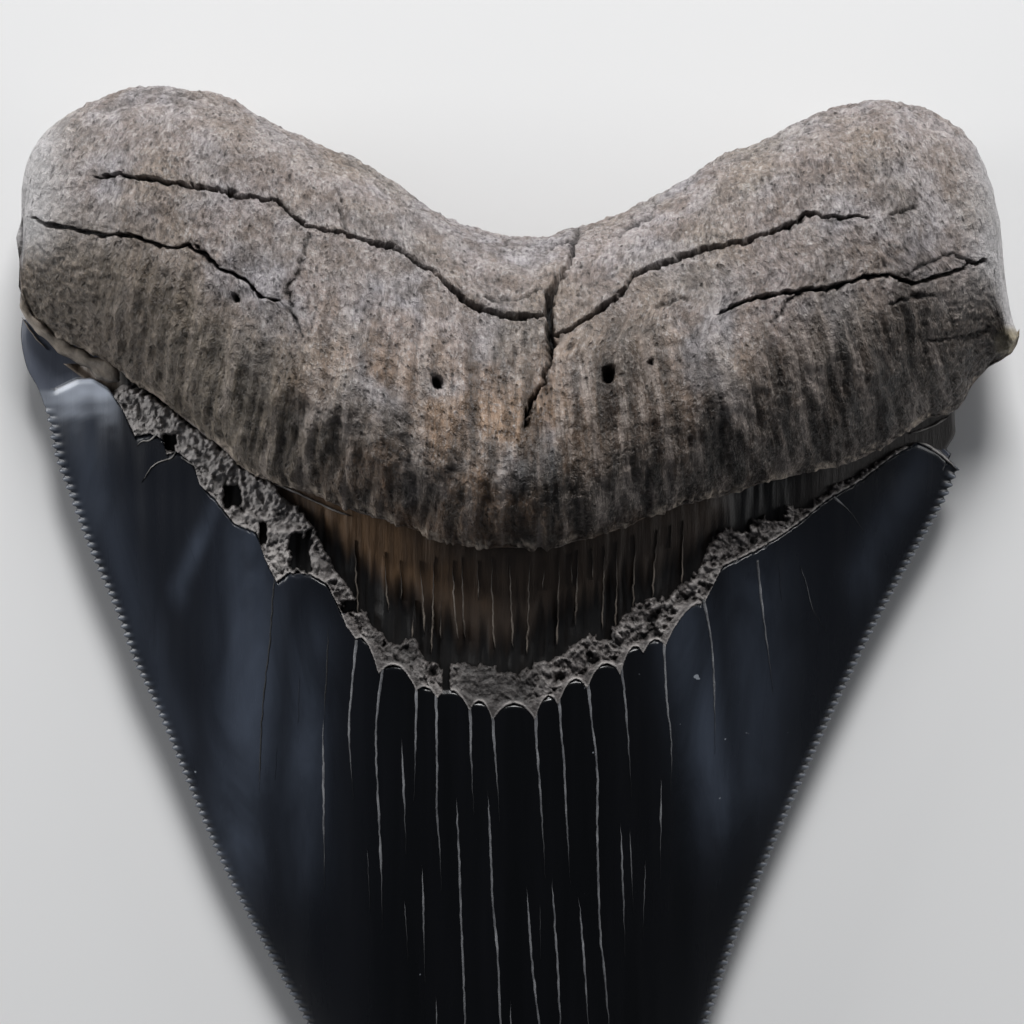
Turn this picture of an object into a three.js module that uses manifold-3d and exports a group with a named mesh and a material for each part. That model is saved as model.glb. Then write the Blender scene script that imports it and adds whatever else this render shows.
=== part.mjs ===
// Fossil megalodon tooth, lying on its flatter labial face with its lingual face up.
// Millimetres. +Z is up, +Y runs from the tip to the root, +X is to the right seen from above.
// The origin is at the middle of the underside of the whole tooth's box.
//
// The tooth is one piece of fossil, joined from the forms that it grew as: a dentine core,
// an enamel blade whose upper rim is torn away, and a heavy root that bulges over both.
// Plans are drawn as an eye sees them from straight above, and lifted() brings each point
// to its true place for the height that it has.

import * as THREE from 'three';
import { mergeVertices } from 'three/addons/utils/BufferGeometryUtils.js';
import Module from 'manifold-3d';

const wasm = await Module();
wasm.setup();

// Driving dimensions
const eyeHeight = 319;
const outlineHeight = 12;
const rootRimHeight = 10;
const rootCrestHeight = 26.5;
const rootUnderside = 0.6;
const rootHalfSpan = 54;
const ledgeDrop = 3.4;
const crownBaseHeight = 17.5;
const crownTipHeight = 2.8;
const crownLength = 104;
const cuttingEdgeHeight = 4.6;
const cuttingEdgeTipHeight = 2.4;
const enamelThickness = 1;
const restShare = 0.45;
const serrationPitch = 0.95;
const serrationDepth = 0.4;
const serrationShare = 0.08;
const serrationTip = 0.3;
const serrationGap = -0.7;
const serrationReach = 1.6;
const widestReach = 0.3;

// Outline of the root from its left end, over both lobes, to the broken corner on the right
const rootTopPlan = [
  [-53.2, 27], [-53.1, 31.5], [-52.8, 36.4], [-51.3, 40.4], [-47.8, 43.5], [-43.6, 45.2], [-39.2, 46.2],
  [-34, 45.7], [-30, 44.7], [-25.6, 42.2], [-20.6, 39.9], [-16.4, 38.1], [-12.7, 35.9], [-8.4, 32.9],
  [-4.4, 31], [1.2, 29.9], [6.2, 30.6], [9.5, 31.5], [13.3, 33.2], [18.5, 35.9], [22.2, 38.5], [26, 40],
  [30, 41.9], [34, 43.5], [40.1, 44.7], [44.1, 44.1], [47.8, 42.2], [50.3, 39.3], [51.8, 35.7],
  [52.7, 31.3], [53.2, 26.2], [54, 21.3], [54.8, 19],
];

// Lower border of the root's bulge, where it overhangs the crown as a ledge
const rootFootPlan = [
  [-53.2, 27], [-53, 22.9], [-51.6, 20.2], [-49.9, 18.8], [-46.7, 17.5], [-43.4, 15.7], [-40.4, 13.5],
  [-37.9, 11.8], [-35.4, 9.7], [-32, 7.2], [-28.8, 4.2], [-26.1, 3.2], [-21, 1.4], [-17.4, -0.1],
  [-10.8, -2.1], [-6.4, -3.5], [-2.7, -4.1], [2.7, -4.1], [5.6, -3.9], [10, -2.7], [13.7, -1.2],
  [17.3, 0.2], [20.3, 0.9], [23.9, 1.7], [26.5, 2.6], [33, 4.3], [38, 5.6], [41, 7.3], [44.3, 9.4],
  [48.1, 11], [49.6, 13.2], [51.3, 15.2], [52.8, 16.1], [54, 17], [54.8, 19],
];

// Cutting edges of the crown from the shoulders to the tip
const leftEdgePlan = [
  [-52.6, 22], [-53, 19], [-52.4, 15.7], [-51.2, 13.4], [-50.4, 11], [-49.4, 6], [-47.8, 1.6],
  [-46.3, -2.6], [-44.9, -6], [-42.9, -10.7], [-41, -15.9], [-38.3, -21.7], [-36.1, -27],
  [-32.5, -35.7], [-29.1, -42.7], [-25.4, -49.6], [-22.4, -55], [-16, -67.4], [-9.4, -80],
  [-3.4, -91.8], [0.4, -99.2], [2.2, -102.2], [4.4, -103.8],
];
const rightEdgePlan = [
  [48.3, 4.6], [46.9, 1.4], [44.8, -2.4], [43.3, -5], [39.7, -11.6], [37.5, -16], [34.9, -21.4],
  [31.8, -28.2], [29.3, -33.9], [26.9, -39.6], [24.5, -45.5], [22.9, -50], [21.4, -54.6],
  [17.2, -67.4], [13.3, -80], [9.8, -91.8], [7.8, -99.2], [6.5, -102.2], [4.4, -103.8],
];
const rightShoulderPlan = [[56, 22], [52.5, 13], [50, 8]];
const firstSerrationLeft = 11;

// Dentine neck that shows between the root and the enamel on the right
const neckPlan = [[47.6, 16], [47.8, 10], [47.8, 8.4], [46.8, 6.6], [46.5, 5.2]];
const coreTop = 16;
const coreFoot = -28;
const coreLeft = -46.5;
const coreInset = 0.7;
const coreEdgeDrop = 0.2;
const coreHalfEdge = 0.4;
const coreEndReach = 0.5;

// Torn upper rim of the enamel on the lingual side, from the left shoulder to the right
const tornRimPlan = [
  [-58, 12.9], [-50.4, 12.1], [-49.1, 13.2], [-47, 14.3], [-45.3, 14.4], [-43.6, 13.4], [-42.1, 11.2],
  [-40.5, 8.2], [-38.9, 7.8], [-37.7, 6.5], [-36.1, 6.5], [-34.6, 5.3], [-33.1, 3.6], [-31.8, 1.9],
  [-30.2, 0], [-28.5, -1.7], [-26.9, -3.6], [-25.8, -7.2], [-24.8, -5.2], [-23.4, -2.2], [-22, -4.4],
  [-20.4, -6.4], [-18.8, -8.4], [-18.9, -11.6], [-17.2, -12], [-15.4, -13.6], [-14.4, -16.8],
  [-12.2, -16.4], [-10.5, -19], [-8.2, -19.6], [-7.1, -16.8], [-6.2, -20], [-4.5, -21.1], [-2.2, -22.5],
  [-0.4, -20.7], [1.9, -21.9], [3.8, -20], [5.6, -20.8], [8.2, -18.2], [11.5, -17.2], [13.6, -14.3],
  [16.3, -13.6], [17.3, -12], [19.1, -10.6], [20.6, -8], [22.8, -5.8], [26.4, -4.1], [28.9, -2.6],
  [31.4, -0.8], [34.3, 1.6], [37.6, 3.4], [41, 6], [43.8, 7.6], [46.2, 6.6], [48.3, 4.6], [58, 4],
];
const tornRimFloor = 4.7;

// Cracks of the root: [x, y, width] along each, in plan
const rootCracks = [
  {
    depth: 1.6,
    path: [
      [-44.9, 36.1, 0.3], [-42.4, 36.5, 0.7], [-37.9, 35.8, 0.8], [-34.2, 35.4, 0.6], [-29.5, 34.3, 0.6],
      [-25.1, 33.8, 0.5], [-24, 32.4, 0.5], [-22.3, 31, 0.5], [-18, 30.3, 0.6], [-14.8, 29.2, 0.7],
      [-12.2, 28.7, 0.9], [-10.5, 27.3, 1], [-8.4, 26, 0.9], [-6.7, 24.5, 0.9], [-4.1, 22.4, 1],
      [-2, 21.7, 1], [0.3, 21.1, 0.9], [3.7, 21.4, 0.6],
    ],
  },
  {
    depth: 3.2,
    path: [
      [6.9, 29.9, 0.4], [6, 27, 0.7], [4.9, 25.2, 1], [4.1, 23.4, 1.3], [4, 21.4, 1.4], [4, 18.5, 1.3],
      [4.1, 17.1, 1.1], [3.4, 14.5, 0.9], [2.3, 12.7, 0.8], [1.8, 10.4, 0.6], [1.7, 8.6, 0.3],
    ],
  },
  {
    depth: 1.7,
    path: [
      [4.4, 19.1, 0.7], [6.3, 20.1, 0.7], [8.3, 21.2, 0.7], [10.4, 22.6, 0.7], [12.1, 24, 0.7],
      [13, 25.7, 0.7], [15.9, 27, 0.8], [18.1, 27.9, 0.9], [20.5, 28.7, 0.9], [25.5, 29.4, 0.8],
      [28.5, 30.5, 0.7], [31, 31.5, 0.8], [31.5, 32.4, 0.8], [35.5, 31.9, 0.7], [38.5, 31.9, 0.4],
    ],
  },
  {
    depth: 1.5,
    path: [
      [22.2, 21.4, 0.3], [24.3, 22.5, 0.6], [26, 23, 0.7], [29, 23.8, 0.8], [34, 24.1, 0.8],
      [38, 25.3, 0.8], [41, 25.5, 0.7], [43.6, 24.7, 0.8], [47, 25.6, 0.8], [50.9, 27.2, 0.4],
    ],
  },
  {
    depth: 1.4,
    path: [
      [-52, 31.8, 0.4], [-50.3, 31.1, 0.7], [-47.8, 30.6, 0.8], [-44.7, 30, 0.8], [-41.4, 29.9, 0.6],
      [-37, 28.4, 0.7], [-35, 28.8, 0.7], [-33, 27.7, 0.8], [-32, 26.5, 0.7], [-28.7, 25, 0.6],
      [-27.5, 23.3, 0.6], [-25.3, 22.7, 0.3],
    ],
  },
];
const crackEndDepth = 0.3;
const crackMouth = 1.5;

// Nutrient holes of the root: place in plan, radius and depth
const nutrientHoles = [
  { at: [10.4, 14.9], radius: 0.95, depth: 3.4 },
  { at: [-8, 14], radius: 0.75, depth: 2.6 },
];

// Thin upright ridges left standing on the bare dentine under the ledge: x, top and foot
const ridges = [
  [-17, -2.4, -7.4], [-13.6, -3.6, -11.5], [-10, -4.4, -13.4], [-8.3, -5, -15.4], [-5.8, -5, -13.2],
  [-2.2, -5.6, -12.6], [0.2, -5.4, -11.6], [2.4, -5.4, -14], [5.1, -6, -14.4], [7.5, -5, -12.4],
  [10.2, -4.6, -12.8], [11.6, -4, -10.4], [13.6, -3, -10.8], [16, -2, -9.4], [18.6, -1, -8.2],
];
const ridgeWidth = 0.7;
const ridgeRise = 0.9;
const ridgeFootRise = 0.3;
const ridgeDepth = 1;

// Crumbly crust along the torn rim
const crustStep = 2.6;
const crustSize = 1.5;
const crustLeastShare = 0.6;
const crustTopShare = 0.6;
const crustFootShare = 1.15;
const crustDepth = 5;
const crustRise = 1.3;
const crustLeastRise = 0.3;
const crustNearRim = 0.4;
const crustFarRim = 1.6;
const crustInwards = 0.006;
const crustTilt = 0.5;

// Curves and small helpers
const smooth = (plan, count) => {
  const curve = new THREE.SplineCurve(plan.map(([x, y]) => new THREE.Vector2(x, y)));
  return curve.getSpacedPoints(count);
};
const curveSteps = 400;
const rootTop = smooth(rootTopPlan, curveSteps);
const rootFoot = smooth(rootFootPlan, curveSteps);
const leftEdge = smooth(leftEdgePlan, curveSteps);
const rightEdge = smooth([...rightShoulderPlan, ...rightEdgePlan], curveSteps);

// Where a curve that runs one way along an axis passes a value of that axis
const crossing = (curve, along, value) => {
  const across = along === 'x' ? 'y' : 'x';
  const rising = curve.at(-1)[along] > curve[0][along];
  const next = curve.findIndex((p) => (rising ? p[along] >= value : p[along] <= value));
  if (next === 0) return curve[0][across];
  if (next < 0) return curve.at(-1)[across];
  const [a, b] = [curve[next - 1], curve[next]];
  const share = (value - a[along]) / (b[along] - a[along]);
  return a[across] + share * (b[across] - a[across]);
};
const clamp = (value) => Math.min(1, Math.max(0, value));
const mix = THREE.MathUtils.lerp;

// Repeatable random numbers from 0 to 1
let seed = 7;
const random = () => {
  seed = (seed * 16807) % 2147483647;
  return seed / 2147483647;
};

// Surfaces of the crown over its plan
const towardsTip = (y) => clamp(-y / crownLength);
const acrossCrown = (x, y) => {
  const left = crossing(leftEdge, 'y', y);
  const right = crossing(rightEdge, 'y', y);
  const half = Math.max((right - left) / 2, 0.01);
  return Math.min(1, Math.abs(x - (left + right) / 2) / half);
};
const edgeHeight = (y) => mix(cuttingEdgeHeight, cuttingEdgeTipHeight, towardsTip(y));
const crownTopHeight = (x, y) => {
  const ridge = mix(crownTipHeight, crownBaseHeight, (1 - towardsTip(y) ** 1.5) ** 0.9);
  return mix(ridge, edgeHeight(y), acrossCrown(x, y) ** 2.2);
};
const tipLift = 1.2;
const liftFrom = 0.34;
const crownUndersideHeight = (x, y) => {
  const outwards = clamp((acrossCrown(x, y) - restShare) / (1 - restShare)) ** 1.7;
  const lift = tipLift * clamp((towardsTip(y) - liftFrom) / (1 - liftFrom)) ** 2;
  return mix(lift, edgeHeight(y), outwards);
};

// Surfaces of the root over its plan. Up is 0 at the ledge and 1 at the outline.
const towardsEnd = (x) => Math.min(1, Math.abs(x - 0.8) / rootHalfSpan);
const rootRelief = (x, y) => {
  const swell = Math.sin(x * 0.16 + 0.6) * Math.cos(y * 0.21 - 0.4);
  return 0.35 * swell + 0.2 * Math.sin(x * 0.43 + y * 0.31) + 0.12 * Math.sin(x * 0.9 - y * 0.55);
};
const rootLingualHeight = (x, y, up) => {
  const end = towardsEnd(x);
  const crest = mix(rootRimHeight, rootCrestHeight, (1 - end ** 2.6) ** 0.6);
  const crestUp = mix(0.27, 0.5, Math.min(1, end * 1.2));
  const crownHere = crownTopHeight(x, y) - enamelThickness;
  const lip = mix(rootRimHeight, crownHere + mix(ledgeDrop, 2.2, end), (1 - end ** 8) ** 0.5);
  if (up > crestUp) {
    const over = (up - crestUp) / (1 - crestUp);
    const round = (1 - over ** 2.5) ** 0.55;
    return mix(rootRimHeight, crest, round) + rootRelief(x, y) * round;
  }
  const under = (crestUp - up) / crestUp;
  return mix(crest, lip, under ** 2.3) + rootRelief(x, y) * (1 - under ** 4);
};
const rootUndersideHeight = (x, up) => {
  const end = (1 - towardsEnd(x) ** 6) ** 0.5;
  const rounding = clamp((up - 0.72) / 0.28);
  return mix(rootRimHeight, rootUnderside, end * (1 - rounding ** 2.6) ** 0.5);
};

// True place of a plan point at its height
const lifted = (x, y, z) => {
  const scale = (eyeHeight - z) / (eyeHeight - outlineHeight);
  return [x * scale, y * scale, z];
};

// A solid from points in plan and triangles, with its faces turned outwards
const solidFrom = (points, faces) => {
  const places = points.map(([x, y, z]) => new THREE.Vector3(...lifted(x, y, z)));
  const volume = faces.reduce((sum, [a, b, c]) => {
    return sum + places[a].dot(new THREE.Vector3().crossVectors(places[b], places[c]));
  }, 0);
  const outward = volume > 0 ? faces : faces.map(([a, b, c]) => [a, c, b]);
  return new wasm.Manifold(new wasm.Mesh({
    numProp: 3,
    vertProperties: new Float32Array(places.flatMap((p) => p.toArray())),
    triVerts: new Uint32Array(outward.flat()),
  }));
};
const solidFromGeometry = (geometry) => {
  const plain = geometry.clone();
  plain.deleteAttribute('normal');
  plain.deleteAttribute('uv');
  const merged = mergeVertices(plain, 1e-5);
  const position = merged.getAttribute('position');
  const points = [];
  for (let i = 0; i < position.count; i += 1) {
    points.push([position.getX(i), position.getY(i), position.getZ(i)]);
  }
  const index = Array.from(merged.getIndex().array);
  const faces = [];
  for (let i = 0; i < index.length; i += 3) {
    faces.push(index.slice(i, i + 3));
  }
  return solidFrom(points, faces);
};

// Triangles between two rows of points, each given as point numbers with their share of the way
const stitch = (faces, rowA, rowB, flip) => {
  let [a, b] = [0, 0];
  while (a < rowA.length - 1 || b < rowB.length - 1) {
    const stepA = b >= rowB.length - 1
      || (a < rowA.length - 1 && rowA[a + 1].share <= rowB[b + 1].share);
    const third = stepA ? rowA[a + 1].point : rowB[b + 1].point;
    const face = [rowA[a].point, rowB[b].point, third];
    if (new Set(face).size === 3) faces.push(flip ? [face[0], face[2], face[1]] : face);
    if (stepA) a += 1;
    else b += 1;
  }
};

// Enamel blade: columns from shoulder to tip, with a dense toothed column on each cutting edge
const makeBlade = () => {
  const points = [];
  const faces = [];
  const put = (x, y, z) => points.push([x, y, z]) - 1;
  const rows = 24;
  const edgeRows = 72;
  const columns = 11;
  const left = smooth(leftEdgePlan, curveSteps);
  const right = smooth(rightEdgePlan, curveSteps);
  const along = (curve, share) => {
    const place = share * curveSteps;
    const whole = Math.min(curveSteps - 1, Math.floor(place));
    return curve[whole].clone().lerp(curve[whole + 1], place - whole);
  };
  const halfWidth = (share) => along(left, share).distanceTo(along(right, share)) / 2;
  const tip = put(...leftEdgePlan.at(-1), (edgeHeight(-crownLength) + tipLift) / 2);

  const edgeColumn = (curve, plan, outward, firstSerration) => {
    const length = new THREE.SplineCurve(plan.map(([x, y]) => new THREE.Vector2(x, y))).getLength();
    const steps = 2 * Math.round(length / serrationPitch);
    const shoulderStride = 6;
    const lookAhead = 0.004;
    const column = [];
    for (let i = 0; i < steps; i += 1) {
      const share = i / steps;
      const here = along(curve, share);
      const serrated = here.y <= firstSerration;
      if (!serrated && i % shoulderStride !== 0) continue;
      const ahead = along(curve, Math.min(1, share + lookAhead)).sub(here).normalize();
      const depth = serrated ? Math.min(serrationDepth, halfWidth(share) * serrationShare) : 0;
      const shift = outward * depth * (i % 2 === 0 ? serrationTip : serrationGap);
      const place = [here.x - ahead.y * shift, here.y + ahead.x * shift, edgeHeight(here.y)];
      column.push({ share, point: put(...place) });
    }
    column.push({ share: 1, point: tip });
    return column;
  };
  const leftColumn = edgeColumn(left, leftEdgePlan, -1, firstSerrationLeft);
  const rightColumn = edgeColumn(right, rightEdgePlan, 1, rightEdgePlan[0][1]);

  const innerColumn = (number, heightAt) => {
    const column = [];
    const besideEdge = number === 0 || number === columns - 1;
    const steps = besideEdge ? edgeRows : rows;
    for (let row = 0; row < steps; row += 1) {
      const share = row / steps;
      const inset = Math.min(serrationReach / halfWidth(share), widestReach);
      const across = inset / 2 + (1 - inset) * (number / (columns - 1));
      const place = along(left, share).lerp(along(right, share), across);
      column.push({ share, point: put(place.x, place.y, heightAt(place.x, place.y)) });
    }
    column.push({ share: 1, point: tip });
    return column;
  };
  const sheet = (heightAt) => {
    const inner = Array.from({ length: columns }, (_, number) => innerColumn(number, heightAt));
    return [leftColumn, ...inner, rightColumn];
  };
  const top = sheet(crownTopHeight);
  const underside = sheet(crownUndersideHeight);
  for (let i = 0; i < top.length - 1; i += 1) {
    stitch(faces, top[i], top[i + 1], false);
    stitch(faces, underside[i], underside[i + 1], true);
    const wall = [top[i][0].point, underside[i][0].point, underside[i + 1][0].point, top[i + 1][0].point];
    const corners = wall.filter((point, number) => wall.indexOf(point) === number);
    for (let k = 2; k < corners.length; k += 1) {
      faces.push([corners[0], corners[k - 1], corners[k]]);
    }
  }
  return solidFrom(points, faces);
};

// A closed skin over a ladder of equal closed loops, drawn together to one point at each end
const skinLoops = (loops, startPoint, endPoint) => {
  const points = [...loops.flat(), startPoint, endPoint];
  const size = loops[0].length;
  const start = points.length - 2;
  const end = points.length - 1;
  const faces = [];
  for (let k = 0; k < size; k += 1) {
    const next = (k + 1) % size;
    faces.push([start, next, k]);
    for (let i = 0; i < loops.length - 1; i += 1) {
      const [a, b] = [i * size, (i + 1) * size];
      faces.push([a + k, a + next, b + next], [a + k, b + next, b + k]);
    }
    const last = (loops.length - 1) * size;
    faces.push([end, last + k, last + next]);
  }
  return solidFrom(points, faces);
};

// Root: cross-sections from the left lobe to the right, each round the lingual bulge and back
const makeRoot = () => {
  const sections = 42;
  const lingualSteps = [1, 0.985, 0.95, 0.89, 0.8, 0.69, 0.57, 0.45, 0.34, 0.24, 0.15, 0.07, 0];
  const undersideSteps = [0.04, 0.4, 0.72, 0.83, 0.92, 0.98];
  const undercut = 0.9;
  const left = rootTopPlan[0];
  const right = rootTopPlan.at(-1);
  const middle = (left[0] + right[0]) / 2;
  const half = (right[0] - left[0]) / 2;
  const loops = [];
  for (let i = 1; i < sections; i += 1) {
    const x = middle - half * Math.cos((Math.PI * i) / sections);
    const top = crossing(rootTop, 'x', x);
    const foot = crossing(rootFoot, 'x', x);
    const lingual = lingualSteps.map((up) => {
      const y = mix(foot, top, up);
      return [x, y, rootLingualHeight(x, y, up)];
    });
    const lip = lingual.at(-1)[2];
    const under = rootUndersideHeight(x, 0);
    const wall = [x, foot + undercut, mix(under, lip, 0.55)];
    const underside = undersideSteps.map((up) => [x, mix(foot, top, up), rootUndersideHeight(x, up)]);
    loops.push([...lingual, wall, ...underside]);
  }
  return skinLoops(loops, [...left, rootRimHeight], [...right, rootRimHeight]);
};

// Dentine core under the enamel, which shows as the bare band below the ledge and as the neck
const makeCore = () => {
  const rows = 10;
  const columns = 10;
  const neck = smooth(neckPlan, 40);
  const loops = [];
  const middleHeight = (y) => edgeHeight(y) - coreEdgeDrop;
  for (let row = 0; row <= rows; row += 1) {
    const y = mix(coreTop, coreFoot, row / rows);
    const left = Math.max(crossing(leftEdge, 'y', y) + coreInset, coreLeft);
    const right = y > neckPlan.at(-1)[1] ? crossing(neck, 'y', y) : crossing(rightEdge, 'y', y) - coreInset;
    const place = (number) => mix(left, right, number / columns);
    const lingual = [];
    const labial = [];
    for (let i = 0; i <= columns; i += 1) {
      const x = place(i);
      const end = i === 0 || i === columns;
      const top = Math.max(crownTopHeight(x, y) - enamelThickness, middleHeight(y) + coreHalfEdge);
      const low = Math.min(crownUndersideHeight(x, y) + enamelThickness, middleHeight(y) - coreHalfEdge);
      lingual.push([x, y, end ? middleHeight(y) : top]);
      if (!end) labial.unshift([x, y, low]);
    }
    loops.push([...lingual, ...labial]);
  }
  const endPoint = (y) => [0, y, crownBaseHeight / 2];
  return skinLoops(loops, endPoint(coreTop + coreEndReach), endPoint(coreFoot - coreEndReach));
};

// Everything above the torn rim, to be taken off the enamel
const makeTornAway = () => {
  const [farX, nearY, farY, depth] = [70, 30, 60, 30];
  const outline = [...tornRimPlan, [farX, nearY], [farX, farY], [-farX, farY], [-farX, nearY]];
  const shape = new THREE.Shape(outline.map(([x, y]) => new THREE.Vector2(x, y)));
  const block = new THREE.ExtrudeGeometry(shape, { depth, bevelEnabled: false });
  return solidFromGeometry(block.translate(0, 0, tornRimFloor));
};

// A blade along a path whose ends taper off: a groove where it points down, a ridge where up
const makeWedge = (path, apexHeight, baseHeight) => {
  const points = [];
  const faces = [];
  path.forEach(([x, y, width], i) => {
    const before = path[Math.max(0, i - 1)];
    const after = path[Math.min(path.length - 1, i + 1)];
    const way = new THREE.Vector2(after[0] - before[0], after[1] - before[1]).normalize();
    const [sideX, sideY] = [(-way.y * width) / 2, (way.x * width) / 2];
    points.push([x + sideX, y + sideY, baseHeight(x, y)]);
    points.push([x - sideX, y - sideY, baseHeight(x, y)]);
    points.push([x, y, apexHeight(x, y, i)]);
  });
  for (let i = 0; i < path.length - 1; i += 1) {
    const a = 3 * i;
    for (const [p, q] of [[0, 1], [1, 2], [2, 0]]) {
      faces.push([a + p, a + q, a + 3 + q], [a + p, a + 3 + q, a + 3 + p]);
    }
  }
  const last = points.length - 3;
  faces.push([0, 2, 1], [last, last + 1, last + 2]);
  return solidFrom(points, faces);
};
const rootHeightAt = (x, y) => {
  const top = crossing(rootTop, 'x', x);
  const foot = crossing(rootFoot, 'x', x);
  return rootLingualHeight(x, y, clamp((y - foot) / (top - foot)));
};
const makeCrack = ({ path, depth }) => {
  const last = path.length - 1;
  const bottom = (x, y, i) => rootHeightAt(x, y) - (i === 0 || i === last ? crackEndDepth : depth);
  return makeWedge(path, bottom, (x, y) => rootHeightAt(x, y) + crackMouth);
};
const coreHeight = (x, y) => crownTopHeight(x, y) - enamelThickness;
const makeRidge = ([x, top, foot]) => {
  const path = [0, 0.5, 1].map((share) => [x, mix(top, foot, share), ridgeWidth]);
  const crest = (px, py, i) => coreHeight(px, py) + (i === 2 ? ridgeFootRise : ridgeRise);
  return makeWedge(path, crest, (px, py) => coreHeight(px, py) - ridgeDepth);
};

// One lump of crust: an angular block rooted in the dentine, wider below than above
const makeGrain = (x, y, size) => {
  const sides = 5;
  const stretch = () => mix(0.8, 1.3, random());
  const surface = coreHeight(x, y);
  const depth = Math.min(crustDepth, surface - edgeHeight(y));
  const grain = new THREE.CylinderGeometry(size * crustTopShare, size * crustFootShare, depth, sides);
  grain.rotateX(Math.PI / 2);
  grain.rotateZ(random() * Math.PI);
  grain.scale(stretch(), stretch(), 1);
  grain.rotateX((random() - 0.5) * crustTilt);
  const rise = mix(crustLeastRise, crustRise, random());
  return solidFromGeometry(grain.translate(x, y, surface + rise - depth / 2));
};
const makeCrust = () => {
  const rim = smooth(tornRimPlan.slice(2, -4), curveSteps);
  const grains = [];
  let travelled = 0;
  for (let i = 1; i < rim.length; i += 1) {
    travelled += rim[i].distanceTo(rim[i - 1]);
    if (travelled < crustStep) continue;
    travelled = 0;
    const upwards = mix(crustNearRim, crustFarRim, random());
    const x = rim[i].x * (1 - upwards * crustInwards);
    const y = rim[i].y + upwards;
    grains.push(makeGrain(x, y, crustSize * mix(crustLeastShare, 1, random())));
  }
  return grains;
};

const makeHole = ({ at: [x, y], radius, depth }) => {
  const [sides, mouth, bottomShare] = [10, 1, 0.5];
  const length = depth + 2 * mouth;
  const drill = new THREE.CylinderGeometry(radius, radius * bottomShare, length, sides);
  drill.rotateX(Math.PI / 2);
  return solidFromGeometry(drill.translate(x, y, rootHeightAt(x, y) - depth / 2 + mouth));
};

// The whole tooth
const joined = (solids) => solids.reduce((whole, solid) => whole.add(solid));
const enamel = makeBlade().subtract(makeTornAway());
const grown = joined([enamel, makeCore(), makeRoot(), ...ridges.map(makeRidge), ...makeCrust()]);
const hollows = [...rootCracks.map(makeCrack), ...nutrientHoles.map(makeHole)];
const finished = hollows.reduce((whole, hollow) => whole.subtract(hollow), grown);

const { vertProperties, triVerts } = finished.getMesh();
const geometry = new THREE.BufferGeometry();
geometry.setAttribute('position', new THREE.BufferAttribute(vertProperties, 3));
geometry.setIndex(new THREE.BufferAttribute(triVerts, 1));
geometry.computeBoundingBox();
const box = geometry.boundingBox;
geometry.translate(-(box.min.x + box.max.x) / 2, -(box.min.y + box.max.y) / 2, -box.min.z);
geometry.computeVertexNormals();

const fossil = new THREE.MeshStandardMaterial({ color: 0x5d5753, roughness: 0.6, metalness: 0 });
const tooth = new THREE.Mesh(geometry, fossil);
tooth.name = 'tooth';

const part = new THREE.Group();
part.add(tooth);

export default part;
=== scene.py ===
from itertools import product

import bpy
import numpy as np
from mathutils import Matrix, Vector


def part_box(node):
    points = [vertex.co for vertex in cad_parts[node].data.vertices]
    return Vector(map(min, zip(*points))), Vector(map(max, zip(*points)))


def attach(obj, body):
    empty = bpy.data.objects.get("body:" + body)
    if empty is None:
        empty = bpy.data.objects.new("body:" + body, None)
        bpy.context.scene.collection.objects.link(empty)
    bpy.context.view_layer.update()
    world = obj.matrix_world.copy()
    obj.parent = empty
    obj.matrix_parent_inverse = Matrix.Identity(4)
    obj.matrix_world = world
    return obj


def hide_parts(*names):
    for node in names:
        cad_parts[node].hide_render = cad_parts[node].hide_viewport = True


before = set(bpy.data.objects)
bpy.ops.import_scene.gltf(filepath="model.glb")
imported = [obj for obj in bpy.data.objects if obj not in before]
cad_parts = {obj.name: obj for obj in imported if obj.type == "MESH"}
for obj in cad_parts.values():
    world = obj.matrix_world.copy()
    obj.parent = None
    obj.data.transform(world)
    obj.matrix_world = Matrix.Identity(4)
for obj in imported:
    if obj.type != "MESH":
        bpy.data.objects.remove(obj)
cad_low, cad_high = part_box("tooth")
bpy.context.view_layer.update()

# The looks of a fossil megalodon tooth that lies with its lingual face up.
# Places are in millimetres. +Z is up, +Y runs from the tip to the root, +X is to the right.
# Plans are drawn as an eye sees them from straight above, and lifted() brings each point to
# its true place for the height that it has.
MILLIMETRE = 0.001
EYE_HEIGHT = 319
OUTLINE_HEIGHT = 12
PLAN_ORIGIN = (-0.472, 30.368)

# Driving dimensions, as the solid has them
ROOT_RIM = 10
ROOT_CREST = 26.5
ROOT_UNDERSIDE = 0.6
ROOT_HALF_SPAN = 54
ROOT_MIDDLE = 0.8
LEDGE_DROP = 3.4
CROWN_BASE = 17.5
CROWN_TIP = 2.8
CROWN_LENGTH = 104
CUTTING_EDGE = 4.6
CUTTING_EDGE_TIP = 2.4
ENAMEL_THICKNESS = 1
REST_SHARE = 0.45
SERRATION_PITCH = 0.95
SERRATION_DEPTH = 0.4
TIP_LIFT = 1.2
LIFT_FROM = 0.34

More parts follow.
